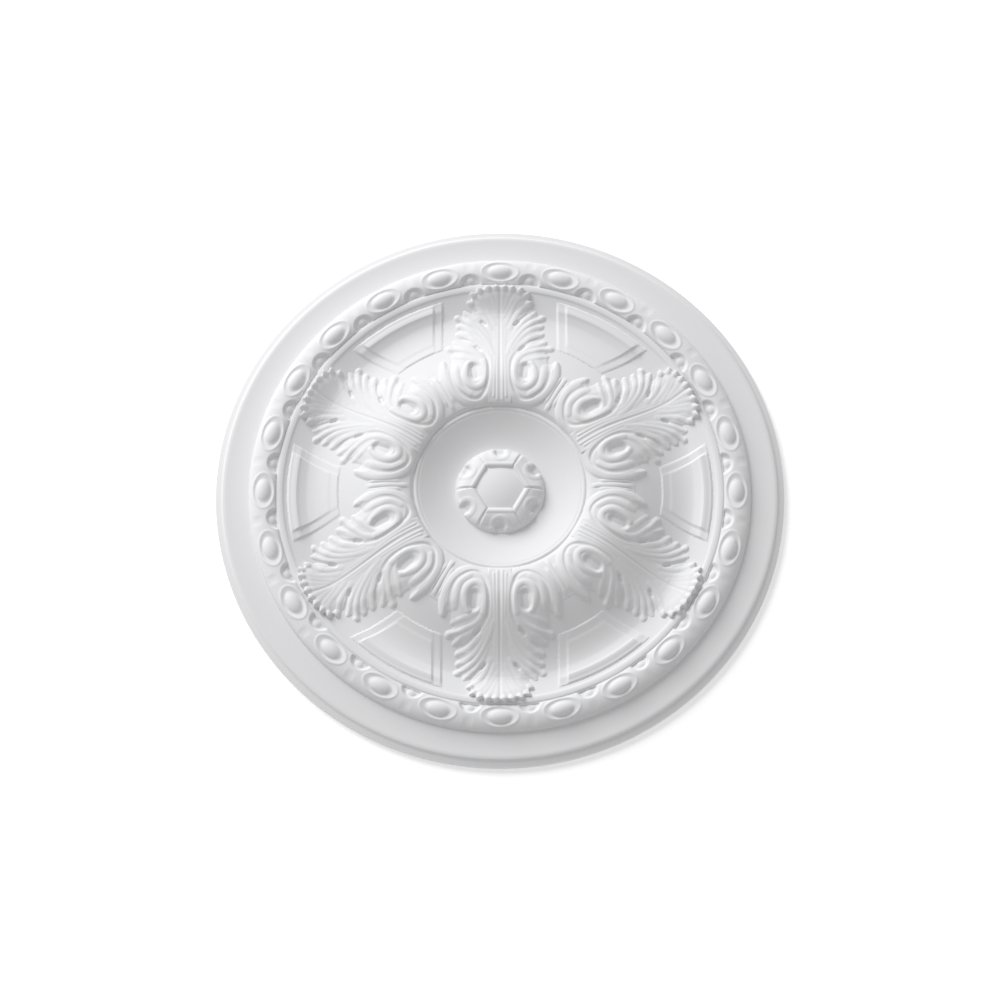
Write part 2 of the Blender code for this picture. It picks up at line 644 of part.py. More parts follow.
def build_wedge(mesh_data):
    """The wedge's triangles, with each corner lifted to the face of the rose."""
    sheet = draw_wedge()
    wedge_outline(sheet)
    corners, _, faces, _, _, _ = delaunay_2d_cdt(sheet.points, sheet.lines, [], 0, 1e-7)
    x = np.array([corner.x for corner in corners])
    y = np.array([corner.y for corner in corners])
    z = relief_height(x, y)
    placed = [mesh_data.verts.new((a, b, c)) for a, b, c in zip(x, y, z)]
    for face in faces:
        a, b, c = (corners[index] for index in face)
        area = (b - a).cross(c - a) / 2
        if abs(area) < 1e-9:
            continue
        order = face if area > 0 else reversed(face)
        mesh_data.faces.new([placed[index] for index in order])


def cast_rose():
    """Mirror and turn the wedge into the whole face, then close the edge and the flat back."""
    solid = bmesh.new()
    build_wedge(solid)
    loose = [vertex for vertex in solid.verts if not vertex.link_faces]
    bmesh.ops.delete(solid, geom=loose, context="VERTS")
    bmesh.ops.mirror(solid, geom=solid.verts[:] + solid.edges[:] + solid.faces[:],
                     matrix=Matrix.Identity(4), axis="X", merge_dist=1e-6)
    bmesh.ops.recalc_face_normals(solid, faces=solid.faces)
    bmesh.ops.spin(solid, geom=solid.verts[:] + solid.edges[:] + solid.faces[:], cent=(0, 0, 0),
                   axis=(0, 0, 1), angle=2 * math.pi * (LEAF_COUNT - 1) / LEAF_COUNT,
                   steps=LEAF_COUNT - 1, use_duplicate=True)
    bmesh.ops.remove_doubles(solid, verts=solid.verts, dist=2e-6)
    rim = [edge for edge in solid.edges if edge.is_boundary]
    wall = bmesh.ops.extrude_edge_only(solid, edges=rim)
    low = [item for item in wall["geom"] if isinstance(item, bmesh.types.BMVert)]
    for vertex in low:
        vertex.co.z = 0.0
    foot = [edge for edge in solid.edges if edge.is_boundary]
    bmesh.ops.contextual_create(solid, geom=foot)
    bmesh.ops.recalc_face_normals(solid, faces=solid.faces)
    mesh = bpy.data.meshes.new(SURFACE_NAME)
    solid.to_mesh(mesh)
    solid.free()
    return mesh


def primed_white():
    material = bpy.data.materials.new("primed_white")
    material.use_nodes = True
    shader = material.node_tree.nodes["Principled BSDF"]
    shader.inputs["Base Color"].default_value = (0.80, 0.80, 0.81, 1.0)
    shader.inputs["Roughness"].default_value = 0.62
    shader.inputs["Metallic"].default_value = 0.0
    return material


def main():
    clear_scene()
    collection = bpy.data.collections.new("Ceiling rose")
    bpy.context.scene.collection.children.link(collection)
    mesh = cast_rose()
    mesh.materials.append(primed_white())
    rose = bpy.data.objects.new(SURFACE_NAME, mesh)
    collection.objects.link(rose)
    mesh.shade_smooth()
    mesh.set_sharp_from_angle(angle=math.radians(35))


main()
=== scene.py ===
"""A white moulded ceiling rose, lying face up on its flat back, in a pale studio.

Turned mouldings carry a ring of ribboned beads, six raised coffers, six acanthus leaves with
scrolls, flutes between the scrolls, and a petalled boss in a dished well. Metres, +Z is the carved side.
"""

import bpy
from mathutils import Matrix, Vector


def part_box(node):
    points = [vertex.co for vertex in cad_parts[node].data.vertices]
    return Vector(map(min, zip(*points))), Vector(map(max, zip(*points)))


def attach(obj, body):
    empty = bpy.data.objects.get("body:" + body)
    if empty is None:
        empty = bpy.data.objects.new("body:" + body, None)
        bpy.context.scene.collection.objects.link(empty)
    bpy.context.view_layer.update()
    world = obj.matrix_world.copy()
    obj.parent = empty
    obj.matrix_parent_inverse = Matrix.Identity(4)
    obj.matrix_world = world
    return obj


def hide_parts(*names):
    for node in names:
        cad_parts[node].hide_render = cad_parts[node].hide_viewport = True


bl_info = {
    "name": "Ceiling Rose",
    "version": (1, 0, 0),
    "blender": (4, 5, 0),
    "location": "View3D > Sidebar > Rose",
    "description": "Carves a moulded ceiling rose with acanthus leaves, beads and coffers",
    "category": "Add Mesh",
}

import math

import bmesh
import bpy
import numpy as np
from bpy.props import FloatProperty, FloatVectorProperty, IntProperty, PointerProperty
from mathutils import Matrix, Vector

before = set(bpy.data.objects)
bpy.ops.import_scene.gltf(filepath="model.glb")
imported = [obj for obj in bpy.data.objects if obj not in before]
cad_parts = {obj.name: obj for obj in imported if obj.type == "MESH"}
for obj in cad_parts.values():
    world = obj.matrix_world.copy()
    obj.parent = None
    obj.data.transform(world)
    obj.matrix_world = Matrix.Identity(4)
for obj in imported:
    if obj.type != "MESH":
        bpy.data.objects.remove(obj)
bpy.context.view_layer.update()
NODE = "ceiling_rose"
ROOT = "root"
SLOT = "primed_white"
LOW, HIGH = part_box(NODE)
LEAF_COUNT = 6
SECTOR = 2.0 * math.pi / LEAF_COUNT


def length(name, description, default):
    return FloatProperty(name=name, description=description, default=default, unit="LENGTH", precision=4)


def share_of_one(name, description, default):
    return FloatProperty(name=name, description=description, default=default, min=0.0, max=1.0)


def amount(name, description, default, subtype="NONE"):
    return FloatProperty(name=name, description=description, default=default, subtype=subtype)


def tint(name, description, default):
    return FloatVectorProperty(name=name, description=description, default=default, subtype="COLOR", size=4,
                               min=0.0, max=1.0)


class MouldingSizes(bpy.types.PropertyGroup):
    """The turned profile, from the rim to the centre."""

    rose_radius: length("Rose radius", "Half the width of the whole rose", (HIGH.x - LOW.x) / 2.0)
    edge_height: length("Edge height", "Thickness of the rim at its outer edge", 0.0060)
    rim_step_radius: length("Rim step radius", "Where the fine step on the rim's slope runs", 0.3434)
    rim_step_height: length("Rim step height", "Height of the slope below the fine step", 0.0084)
    rim_step_rise: length("Rim step rise", "Height and width of the fine step", 0.0006)
    rim_top_radius: length("Rim top radius", "Where the rim's slope meets the wide hollow", 0.3370)
    rim_top_height: length("Rim top height", "Height at the top of the rim's slope", 0.0116)
    band_foot_radius: length("Band foot radius", "Outer foot of the bead ring", 0.3090)
    band_foot_height: length("Band foot height", "Height at the bead ring's outer foot", 0.0142)
    band_crest_radius: length("Band crest radius", "Crest of the half-round under the beads", 0.2890)
    band_crest_height: length("Band crest height", "Height of that crest", 0.0252)
    band_inner_radius: length("Band inner radius", "Inner foot of the bead ring", 0.2756)
    band_inner_height: length("Band inner height", "Height at the bead ring's inner foot", 0.0198)
    fillet_radius: length("Fillet radius", "Crest of the round fillet inside the bead ring", 0.2722)
    fillet_height: length("Fillet height", "Height of the round fillet", 0.0214)
    fillet_foot_radius: length("Fillet foot radius", "Foot of the fillet's inner side", 0.2662)
    fillet_foot_height: length("Fillet foot height", "Height at that foot", 0.0190)
    cove_radius: length("Cove radius", "Lowest circle of the deep cove", 0.2380)
    cove_height: length("Cove height", "Height at the bottom of the cove", 0.0110)
    roll_radius: length("Roll radius", "Crest of the broad inner roll", 0.1360)
    roll_height: length("Roll height", "Height of the inner roll", 0.0452)
    ledge_radius: length("Ledge radius", "Foot of the roll, at the well's ledge", 0.1070)
    ledge_height: length("Ledge height", "Height of the well's ledge", 0.0375)
    ring_rise: length("Ring rise", "Height of the ring on the ledge", 0.0013)
    well_radius: length("Well radius", "Edge of the dished well", 0.0995)
    well_edge_height: length("Well edge height", "Height at the well's edge", 0.0364)
    well_floor_radius: length("Well floor radius", "Foot of the centre boss", 0.0550)
    well_floor_height: length("Well floor height", "Height of the well's floor", 0.0215)


class BeadSizes(bpy.types.PropertyGroup):
    """The ring of oval beads and the ribbons that loop round them."""

    count: IntProperty(name="Bead count", description="Beads in the ring", default=24, min=3)
    centre_radius: length("Centre radius", "Circle that the beads lie on", 0.2908)
    half_length: length("Bead half length", "Half a bead's length along the ring", 0.0166)
    half_width: length("Bead half width", "Half a bead's width across the ring", 0.0092)
    rise: length("Bead rise", "How far a bead stands over the band", 0.0028)
    groove_width: length("Groove width", "Width of the groove round a bead", 0.0026)
    groove_depth: length("Groove depth", "Depth of the groove round a bead", 0.0013)
    loop_gap: length("Loop gap", "Distance from a bead's edge to the middle of the ribbon round it", 0.0037)
    loop_half_width: length("Loop half width", "Half the width of that ribbon", 0.0030)
    loop_rise: length("Loop rise", "How far the ribbon stands over the band", 0.0009)
    recess_half_width: length("Recess half width", "Half the width of the arch between two beads", 0.0152)
    recess_height: length("Recess height", "How far the arch reaches up the band", 0.0142)
    recess_depth: length("Recess depth", "Depth of that arch", 0.0044)
    mark_depth: length("Mark depth", "Depth of the mark on the outer side of each gap", 0.0007)
    lump_radius: length("Lump radius", "Radius of the small scallop in each arch", 0.0062)
    lump_rise: length("Lump rise", "Height of the small scallop", 0.0018)
    height_share: share_of_one("Bead height share", "Half height of a bead over its half width", 0.8)


class CofferSizes(bpy.types.PropertyGroup):
    """The raised, stepped panel between two leaves."""

    side: length("Side", "Distance of the frame's side from a leaf's axis", 0.0730)
    side_step: length("Side step", "Width of the tread beside the panel", 0.0078)
    outer_radius: length("Outer radius", "Outer edge of the frame", 0.2596)
    panel_outer_radius: length("Panel outer radius", "Outer edge of the panel", 0.2475)
    panel_inner_radius: length("Panel inner radius", "Inner edge of the panel", 0.2090)
    inner_radius: length("Inner radius", "Inner edge of the frame", 0.2010)
    inner_rise: length("Inner rise", "Height of the panel over the cove at its inner edge", 0.0022)
    outer_rise: length("Outer rise", "Height of the panel over the cove at its outer edge", 0.0032)
    riser: length("Riser", "Height of the riser at each side of the tread", 0.0015)
    band_rise: length("Band rise", "Height of the outer band over the panel", 0.0012)
    lip_rise: length("Lip rise", "Height of the lip along the panel's outer edge", 0.0007)
    step_width: length("Step width", "Width of each sloping riser", 0.0030)
    dish: length("Dish", "How much more the panel rises towards its outer edge", 0.0016)


class LeafSizes(bpy.types.PropertyGroup):
    """One acanthus leaf, drawn on a grid of 1000 to the rose's radius."""

    foot_radius: length("Foot radius", "Where the leaf starts, at the well's ledge", 0.1075)
    tip_radius: length("Tip radius", "Where the leaf's curled tip ends", 0.2737)
    edge: length("Edge", "Height of the leaf's edge over the moulding", 0.0012)
    edge_width: length("Edge width", "Width of the leaf's rounded edge", 0.0042)
    swell: length("Swell", "How much higher the leaf's face is than its edge", 0.0026)
    swell_width: length("Swell width", "Width over which the face swells up from the edge", 0.0150)
    rib_rise: length("Rib rise", "Height of a rib over the leaf's face", 0.0014)
    groove_depth: length("Groove depth", "Depth of the grooves beside the scroll's bands", 0.0012)
    eye_depth: length("Eye depth", "Depth of the scroll's eye", 0.0050)
    eyelet_depth: length("Eyelet depth", "Depth of the eyelets where the lobes part", 0.0020)
    midrib_depth: length("Midrib depth", "Depth of the groove along the leaf's axis", 0.0005)
    curl: length("Curl", "How far the tip rises from the cove", 0.0142)
    frill: length("Frill", "Height of the small turned-over ends along the tip", 0.0020)
    frill_width: length("Frill width", "Width of the level frill round the tip", 0.0047)
    curl_start: length("Curl start", "Radius at which the tip starts to rise", 0.2400)
    cell: length("Cell", "Spacing of the leaf's mesh", 0.00075)


class FluteSizes(bpy.types.PropertyGroup):
    """The flutes that fan out between neighbouring scrolls."""

    inner_radius: length("Inner radius", "Where the flutes start", 0.1100)
    outer_radius: length("Outer radius", "Where the flutes end", 0.1660)
    half_width: length("Half width", "Half the width of a flute", 0.0030)
    rise: length("Rise", "Height of a flute", 0.0016)


class BossSizes(bpy.types.PropertyGroup):
    """The petalled boss in the middle of the well."""

    shoulder_radius: length("Shoulder radius", "Where the petals turn down to the well", 0.0480)
    shoulder_height: length("Shoulder height", "Height of that shoulder", 0.0290)
    button_radius: length("Button radius", "Corner radius of the six-sided button", 0.0300)
    button_edge_height: length("Button edge height", "Height of the button's edge", 0.0336)
    crown_height: length("Crown height", "Height of the button's centre", 0.0382)
    petal_step: length("Petal step", "How far a petal's inner edge stands over the button's edge", 0.0022)
    petal_bulge: length("Petal bulge", "Rounding of a petal's face", 0.0018)
    seam_half_width: length("Seam half width", "Half the width of the seams between petals", 0.0024)
    seam_depth: length("Seam depth", "Depth of those seams", 0.0026)
    hollow_radius: length("Hollow radius", "Half the width of the hollow in each petal's outer edge", 0.0078)
    hollow_centre: length("Hollow centre", "Distance of that hollow from the boss's centre", 0.0480)
    hollow_depth: length("Hollow depth", "Depth of that hollow", 0.0042)


class FinishSettings(bpy.types.PropertyGroup):
    """The primed white surface."""

    colour: tint("Colour", "Primed white of the casting", (0.80, 0.80, 0.81, 1.0))
    roughness: share_of_one("Roughness", "Matt finish of the primer", 0.58)
    grain: length("Grain", "Size of the primer's fine grain", 0.0009)
    grain_depth: length("Grain depth", "Depth of that grain", 0.0004)
    grain_strength: share_of_one("Grain strength", "How far the grain shows", 0.08)
    clouds: amount("Clouds", "Clouds of tone in each metre", 9.0)
    unevenness: share_of_one("Unevenness", "How far the tone varies to each side", 0.015)


class StageSettings(bpy.types.PropertyGroup):
    """Floor, light and camera."""

    elevation: amount("Elevation", "Camera's angle over the floor", math.radians(70.0), "ANGLE")
    lens: amount("Lens", "Focal length of the camera", 200.0)
    share: share_of_one("Width share", "Share of the picture that the rose's width takes", 0.568)
    aim: length("Aim", "Place along Y that the camera looks at", -0.0035)
    lamp_azimuth: amount("Light azimuth", "Side that the light comes from", math.radians(128.0), "ANGLE")
    lamp_elevation: amount("Light elevation", "Angle of the light to the floor", math.radians(30.0), "ANGLE")
    lamp_size: length("Lamp size", "Width of the round soft light", 8.0)
    lamp_distance: length("Lamp distance", "Distance of the light from the rose", 12.0)
    lamp_power: amount("Lamp power", "Power of the light in watts", 1250.0)
    sky_strength: amount("Sky strength", "Light from all round", 0.45)
    floor_size: length("Floor size", "Half the width of the floor", 12.0)
    floor_gap: length("Floor gap", "How far the floor lies under the rose's back", 0.0002)
    floor_colour: tint("Floor colour", "Pale tone of the floor", (0.93, 0.93, 0.93, 1.0))
    floor_roughness: share_of_one("Floor roughness", "Matt finish of the floor", 0.9)
    floor_glow: amount("Floor glow", "Light that the floor gives off", 0.3)


WHITE = (1.0, 1.0, 1.0, 1.0)
SENSOR_WIDTH = 36.0

SETTINGS = {
    "rose_mouldings": MouldingSizes,
    "rose_beads": BeadSizes,
    "rose_coffers": CofferSizes,
    "rose_leaves": LeafSizes,
    "rose_flutes": FluteSizes,
    "rose_boss": BossSizes,
    "rose_finish": FinishSettings,
    "rose_stage": StageSettings,
}

# The leaf's drawing: a grid of 1000 to the rose's radius, pinned to the leaf's foot and tip
GRID = 1000.0
GRID_FOOT = 307.0
GRID_TIP = 782.0
LINE_STEP = 5.0

# The outer band of the scroll, from its free end round the foot: half width and centre line
SCROLL_HALF_WIDTH = 15.0
SCROLL = ((199, 466), (202, 430), (192, 385), (160, 334), (122, 310), (90, 306), (62, 311))

# Fingers of one half of the leaf, from the lowest up: half width at the tip, depth of the notch
# that follows, share of the rib's rise, and the centre line from the stem to the middle of the tip
FINGERS = (
    (14, 4, 0.8, ((62, 452), (105, 478), (163, 496))),
    (17, 5, 1.2, ((51, 430), (58, 470), (84, 503), (130, 522), (179, 534))),
    (13, 18, 0.8, ((70, 505), (110, 535), (158, 562))),
    (14, 3, 0.8, ((60, 540), (98, 572), (147, 598))),
    (14, 3, 0.9, ((40, 520), (60, 560), (95, 605), (146, 632))),
    (17, 4, 1.2, ((24, 500), (46, 560), (88, 625), (150, 665))),
    (12, 18, 0.8, ((40, 570), (66, 625), (92, 660), (126, 687))),
    (13, -2, 1.0, ((34, 620), (60, 675), (112, 720))),
    (13, -7, 0.8, ((20, 640), (58, 722), (102, 748))),
    (14, -8, 0.8, ((16, 670), (50, 732), (77, 763))),
    (14, -8, 0.8, ((12, 690), (32, 744), (47, 771))),
    (14, -6, 0.8, ((6, 700), (13, 750), (16, 775))),
)

# Further crest lines on the leaf's face: half width, rise at each end as shares, and the line
CRESTS = (
    (15, 1.1, 0.0, SCROLL + ((42, 340), (34, 380), (32, 440), (40, 510), (56, 560))),
    (14, 1.2, 1.3, ((58, 470), (50, 430), (51, 400), (62, 375), (84, 363), (108, 374), (123, 402), (121, 435),
                    (110, 460))),
    (12, 0.8, 0.6, ((158, 447), (151, 405), (138, 363), (106, 338))),
    (6, 0.6, 0.0, ((9, 320), (9, 480), (6, 620), (6, 680))),
    (6, 0.6, 0.0, ((22, 330), (20, 420), (16, 540), (20, 640))),
)

# Grooves: half width, share of the groove's depth, and the line
GROOVES = (
    (8, 1.0, ((172, 462), (176, 430), (168, 388), (148, 352), (112, 326), (84, 322), (60, 338), (46, 372),
              (40, 420), (42, 470), (62, 512), (96, 536))),
    (8, 1.0, ((62, 508), (80, 530), (110, 562), (150, 582))),
    (8, 1.0, ((44, 626), (60, 642), (84, 665), (120, 700))),
)

# Eyelets where the lobes part: half width, and the line along each
EYELETS = (
    (13, ((74, 524), (84, 534))),
    (12, ((56, 638), (64, 646))),
)
EYE = ((88, 408), (92, 444))
EYE_HALF_WIDTH = 27.0

# Outline: spacing along the scroll, how far its free end is drawn out, the small step where the lowest
# finger leaves it, and the angle to each side of a finger's tip
SCROLL_STEP = 30.0
SCROLL_END = 0.4
SCROLL_NOTCH = (12.0, 2.0)
TIP_TURN = 1.2
STEM_HALF_WIDTH = 40.0

# Ribs: half width, share of the rise at the stem, and how they fall towards a finger's tip
RIB_HALF_WIDTH = 11.0
RIB_START = 0.3
RIB_TIP_FALL = 0.5
RIB_TIP_SHARE = 0.2

# Grooves: shares of their length over which the ends fade. Midrib: half width, start and fade
GROOVE_FADE_IN = 0.1
GROOVE_FADE_OUT = 0.2
MIDRIB_HALF_WIDTH = 6.0
MIDRIB_START = 380.0
MIDRIB_FADE = 60.0

# Tip: where the ribs begin to flatten and by how much, the first finger with a frill, how the tip's
# rise bends, and the size of the frill's small domes
CURL_FOOT = 680.0
CURL_FLATTENING = 0.8
FIRST_CURLED = 7
CURL_BEND = 1.4
FRILL_RADIUS = 15.0
FRILL_INSET = 8.0

# The leaf's mesh: its sheet, and the skirt that sinks into the mouldings all round the outline
EDGE_OVERLAP = 0.0008
SHEET_HALF_WIDTH = 0.0800
SHEET_START = 0.0985
SHEET_PAST_TIP = 0.0040
SKIRT = 0.0016
SKIRT_DEPTH = 0.0014
SKIRT_START = 0.0010
SKIRT_SLOPE = 0.0012
LEAF_FOOT = 0.0040

# How quickly the well's side and the cove's outer side fall
WELL_BEND = 1.6
COVE_BEND = 1.25


def smooth_step(share):
    share = np.clip(share, 0.0, 1.0)
    return share * share * (3.0 - 2.0 * share)


def dome(share):
    """Arched from 1 in the middle down to 0 at a share of 1 to each side."""
    return np.clip(1.0 - share ** 2, 0.0, None)


def straight(share):
    return share


def round_up(share):
    return np.sqrt(dome(1.0 - share))


def round_over(share):
    return 1.0 - np.sqrt(dome(share))


def hollow_up(share):
    return share ** 2


def hollow_down(share):
    return 1.0 - (1.0 - share) ** WELL_BEND


def long_hollow_down(share):
    return 1.0 - (1.0 - share) ** COVE_BEND


def turned_profile(sizes, boss):
    """Radius, height and the curve that leads to the next point, from the rim inwards."""
    step = sizes.rim_step_rise
    return (
        (sizes.rose_radius, sizes.edge_height, straight),
        (sizes.rim_step_radius, sizes.rim_step_height, straight),
        (sizes.rim_step_radius - step, sizes.rim_step_height + step, round_up),
        (sizes.rim_top_radius, sizes.rim_top_height, hollow_up),
        (sizes.band_foot_radius, sizes.band_foot_height, round_up),
        (sizes.band_crest_radius, sizes.band_crest_height, round_over),
        (sizes.band_inner_radius, sizes.band_inner_height, round_up),
        (sizes.fillet_radius, sizes.fillet_height, round_over),
        (sizes.fillet_foot_radius, sizes.fillet_foot_height, long_hollow_down),
        (sizes.cove_radius, sizes.cove_height, smooth_step),
        (sizes.roll_radius, sizes.roll_height, round_over),
        (sizes.ledge_radius, sizes.ledge_height, straight),
        (sizes.well_radius, sizes.well_edge_height, hollow_down),
        (sizes.well_floor_radius, sizes.well_floor_height, smooth_step),
        (boss.shoulder_radius, boss.shoulder_height, round_up),
        (boss.button_radius, boss.button_edge_height, round_up),
        (0.0, boss.crown_height, straight),
    )


def ground_height(scene, radius):
    """Height of the turned surface, before any carving, at each radius."""
    profile = turned_profile(scene.rose_mouldings, scene.rose_boss)
    height = np.full(np.shape(radius), profile[-1][1])
    for outer, inner in zip(profile[:-1], profile[1:]):
        share = (outer[0] - radius) / (outer[0] - inner[0])
        bend = outer[2](np.clip(share, 0.0, 1.0))
        height = np.where((share >= 0.0) & (share <= 1.0), outer[1] + (inner[1] - outer[1]) * bend, height)
    return np.where(radius > profile[0][0], profile[0][1], height)


def curve_through(corners, step):
    """Points at about one step along a smooth curve that passes each corner."""
    corners = [Vector(corner) for corner in corners]
    ends = [2 * corners[0] - corners[1]] + corners + [2 * corners[-1] - corners[-2]]
    points = [corners[0]]
    for before, start, stop, after in zip(ends, ends[1:], ends[2:], ends[3:]):
        count = max(1, round((stop - start).length / step))
        for index in range(1, count + 1):
            t = index / count
            point = 2 * start + (stop - before) * t
            point += (2 * before - 5 * start + 4 * stop - after) * t * t
            point += (3 * start - 3 * stop + after - before) * t ** 3
            points.append(point / 2)
    return np.array(points)


def nearest_on(line, x, y):
    """Distance from each point to a line, and the share of the line at which it is nearest."""
    nearest = np.full(x.shape, np.inf)
    share = np.zeros(x.shape)
    runs = np.diff(line, axis=0)
    lengths = np.hypot(runs[:, 0], runs[:, 1])
    before = np.concatenate(([0.0], np.cumsum(lengths)))
    for start, run, size, passed in zip(line, runs, lengths, before):
        t = ((x - start[0]) * run[0] + (y - start[1]) * run[1]) / max(size ** 2, 1e-9)
        t = np.clip(t, 0.0, 1.0)
        gap = np.hypot(x - start[0] - t * run[0], y - start[1] - t * run[1])
        closer = gap < nearest
        nearest = np.where(closer, gap, nearest)
        share = np.where(closer, (passed + t * size) / before[-1], share)
    return nearest, share


def beside(line, offset):
    """The line moved sideways by the offset, to its left."""
    along = np.gradient(line, axis=0)
    along /= np.hypot(along[:, 0], along[:, 1])[:, None]
    return line + offset * np.column_stack((-along[:, 1], along[:, 0]))


def round_tip(middle, heading, radius):
    """Three points round a finger's tip, from its lower to its upper side."""
    angle = math.atan2(heading[1], heading[0])
    turns = (angle - TIP_TURN, angle, angle + TIP_TURN)
    return [middle + radius * np.array((math.cos(turn), math.sin(turn))) for turn in turns]


def half_outline():
    """The leaf's outline on one side: round the scroll, then finger by finger up to the tip."""
    scroll = curve_through(SCROLL, SCROLL_STEP)
    outer = beside(scroll, SCROLL_HALF_WIDTH)[::-1]
    inner = beside(scroll, -SCROLL_HALF_WIDTH)
    free_end = scroll[0] + (scroll[0] - scroll[1]) * SCROLL_END
    points = [np.array((0.0, outer[0][1])), *outer, free_end, inner[0], inner[0] - np.array(SCROLL_NOTCH)]
    for index, (half_width, notch, _, centre) in enumerate(FINGERS):
        middle = np.array(centre[-1], float)
        heading = middle - np.array(centre[-2], float)
        heading /= np.hypot(*heading)
        tip = round_tip(middle, heading, half_width)
        points.extend(tip)
        if index + 1 < len(FINGERS):
            following = np.array(FINGERS[index + 1][3][-1], float)
            points.append((middle + following) / 2 - heading * notch)
    points.append(np.array((0.0, GRID_TIP)))
    return curve_through([tuple(point) for point in points], LINE_STEP)


def inside_of(outline, x, y):
    """Which points lie inside the outline and its mirror image."""
    inside = np.zeros(x.shape, bool)
    for start, stop in zip(outline, outline[1:]):
        if start[1] != stop[1]:
            crosses = (start[1] > y) != (stop[1] > y)
            inside ^= crosses & (x < start[0] + (stop[0] - start[0]) * (y - start[1]) / (stop[1] - start[1]))
    return inside


def leaf_grid(scene, across, out):
    """A place on the leaf, from metres to the drawing's grid."""
    leaf = scene.rose_leaves
    span = leaf.tip_radius - leaf.foot_radius
    y = GRID_FOOT + (out - leaf.foot_radius) / span * (GRID_TIP - GRID_FOOT)
    return np.abs(across) / scene.rose_mouldings.rose_radius * GRID, y


def leaf_margin(x, y):
    """How far inside the leaf's outline each point of the drawing lies; negative outside."""
    outline = half_outline()
    gap, _ = nearest_on(outline, x, y)
    margin = np.where(inside_of(outline, x, y), gap, -gap)
    on_stem = (x < STEM_HALF_WIDTH) & (y > GRID_FOOT) & (y < GRID_TIP - STEM_HALF_WIDTH)
    return np.where(on_stem, STEM_HALF_WIDTH, margin)


def leaf_relief(scene, across, out):
    """Height of a leaf over the turned surface, and the margin inside its outline."""
    leaf = scene.rose_leaves
    scale = scene.rose_mouldings.rose_radius / GRID
    x, y = leaf_grid(scene, across, out)
    margin = leaf_margin(x, y)
    body = smooth_step((margin * scale + EDGE_OVERLAP) / leaf.edge_width)
    face = leaf.edge + leaf.swell * smooth_step(margin * scale / leaf.swell_width)
    ribs = np.zeros(x.shape)
    for _, _, rise, centre in FINGERS:
        gap, share = nearest_on(curve_through(centre, LINE_STEP), x, y)
        rise *= RIB_START + (1.0 - RIB_START) * share
        rise *= 1.0 - RIB_TIP_FALL * smooth_step(1.0 - (1.0 - share) / RIB_TIP_SHARE)
        ribs = np.maximum(ribs, rise * dome(gap / RIB_HALF_WIDTH))
    for half_width, start, stop, line in CRESTS:
        gap, share = nearest_on(curve_through(line, LINE_STEP), x, y)
        ribs = np.maximum(ribs, (start + (stop - start) * share) * dome(gap / half_width))
    ribs *= 1.0 - CURL_FLATTENING * smooth_step((y - CURL_FOOT) / (GRID_TIP - CURL_FOOT))
    relief = body * (face + leaf.rib_rise * ribs)
    for half_width, depth, line in GROOVES:
        gap, share = nearest_on(curve_through(line, LINE_STEP), x, y)
        ends = smooth_step(share / GROOVE_FADE_IN) * smooth_step((1.0 - share) / GROOVE_FADE_OUT)
        relief -= body * leaf.groove_depth * depth * ends * dome(gap / half_width)
    for half_width, line in EYELETS:
        gap, _ = nearest_on(curve_through(line, LINE_STEP), x, y)
        relief -= leaf.eyelet_depth * dome(gap / half_width) ** 2
    gap, _ = nearest_on(curve_through(EYE, LINE_STEP), x, y)
    relief -= leaf.eye_depth * smooth_step(1.0 - gap / EYE_HALF_WIDTH)
    span = leaf.tip_radius - leaf.frill_width - leaf.curl_start
    relief += body * leaf.curl * np.clip((out - leaf.curl_start) / span, 0.0, 1.0) ** CURL_BEND
    for _, _, _, centre in FINGERS[FIRST_CURLED:]:
        tip_x, tip_y = centre[-1]
        inset = FRILL_INSET / max(1.0, math.hypot(tip_x, tip_y - CURL_FOOT))
        gap = np.hypot(x - tip_x * (1.0 - inset), y - tip_y + (tip_y - CURL_FOOT) * inset)
        relief += body * leaf.frill * dome(gap / FRILL_RADIUS)
    fade = smooth_step((y - MIDRIB_START) / MIDRIB_FADE)
    relief -= leaf.midrib_depth * fade * dome(x / MIDRIB_HALF_WIDTH)
    return relief, margin * scale


def polar_sheet(radii, steps, sweep=2.0 * math.pi, start=0.0):
    """A flat grid bent round the centre, whose vertices are lifted afterwards."""
    sheet = bmesh.new()
    bmesh.ops.create_grid(sheet, x_segments=steps, y_segments=len(radii) - 1, size=1.0)
    for vertex in sheet.verts:
        radius = radii[round((vertex.co.y + 1.0) / 2.0 * (len(radii) - 1))]
        angle = start + sweep * round((vertex.co.x + 1.0) / 2.0 * steps) / steps
        vertex.co = (radius * math.sin(angle), radius * math.cos(angle), 0.0)
    bmesh.ops.remove_doubles(sheet, verts=sheet.verts, dist=MERGE)
    return sheet


def lift(sheet, height_of):
    """Lift each vertex to the height that the function gives for its place."""
    places = np.array([vertex.co for vertex in sheet.verts])
    heights = height_of(places[:, 0], places[:, 1])
    for vertex, height in zip(sheet.verts, heights):
        vertex.co.z = height


def drop_walls(sheet, level):
    """Extrude the open edges down to one level, and give back the edges at their foot."""
    rim = [edge for edge in sheet.edges if edge.is_boundary]
    wall = bmesh.ops.extrude_edge_only(sheet, edges=rim)
    for item in wall["geom"]:
        if isinstance(item, bmesh.types.BMVert):
            item.co.z = level
    return [edge for edge in sheet.edges if edge.is_boundary]


def close_below(sheet, level):
    """Drop walls from the open edges and fill their foot, so that the piece is a closed solid."""
    foot = drop_walls(sheet, level)
    bmesh.ops.holes_fill(sheet, edges=foot, sides=0)


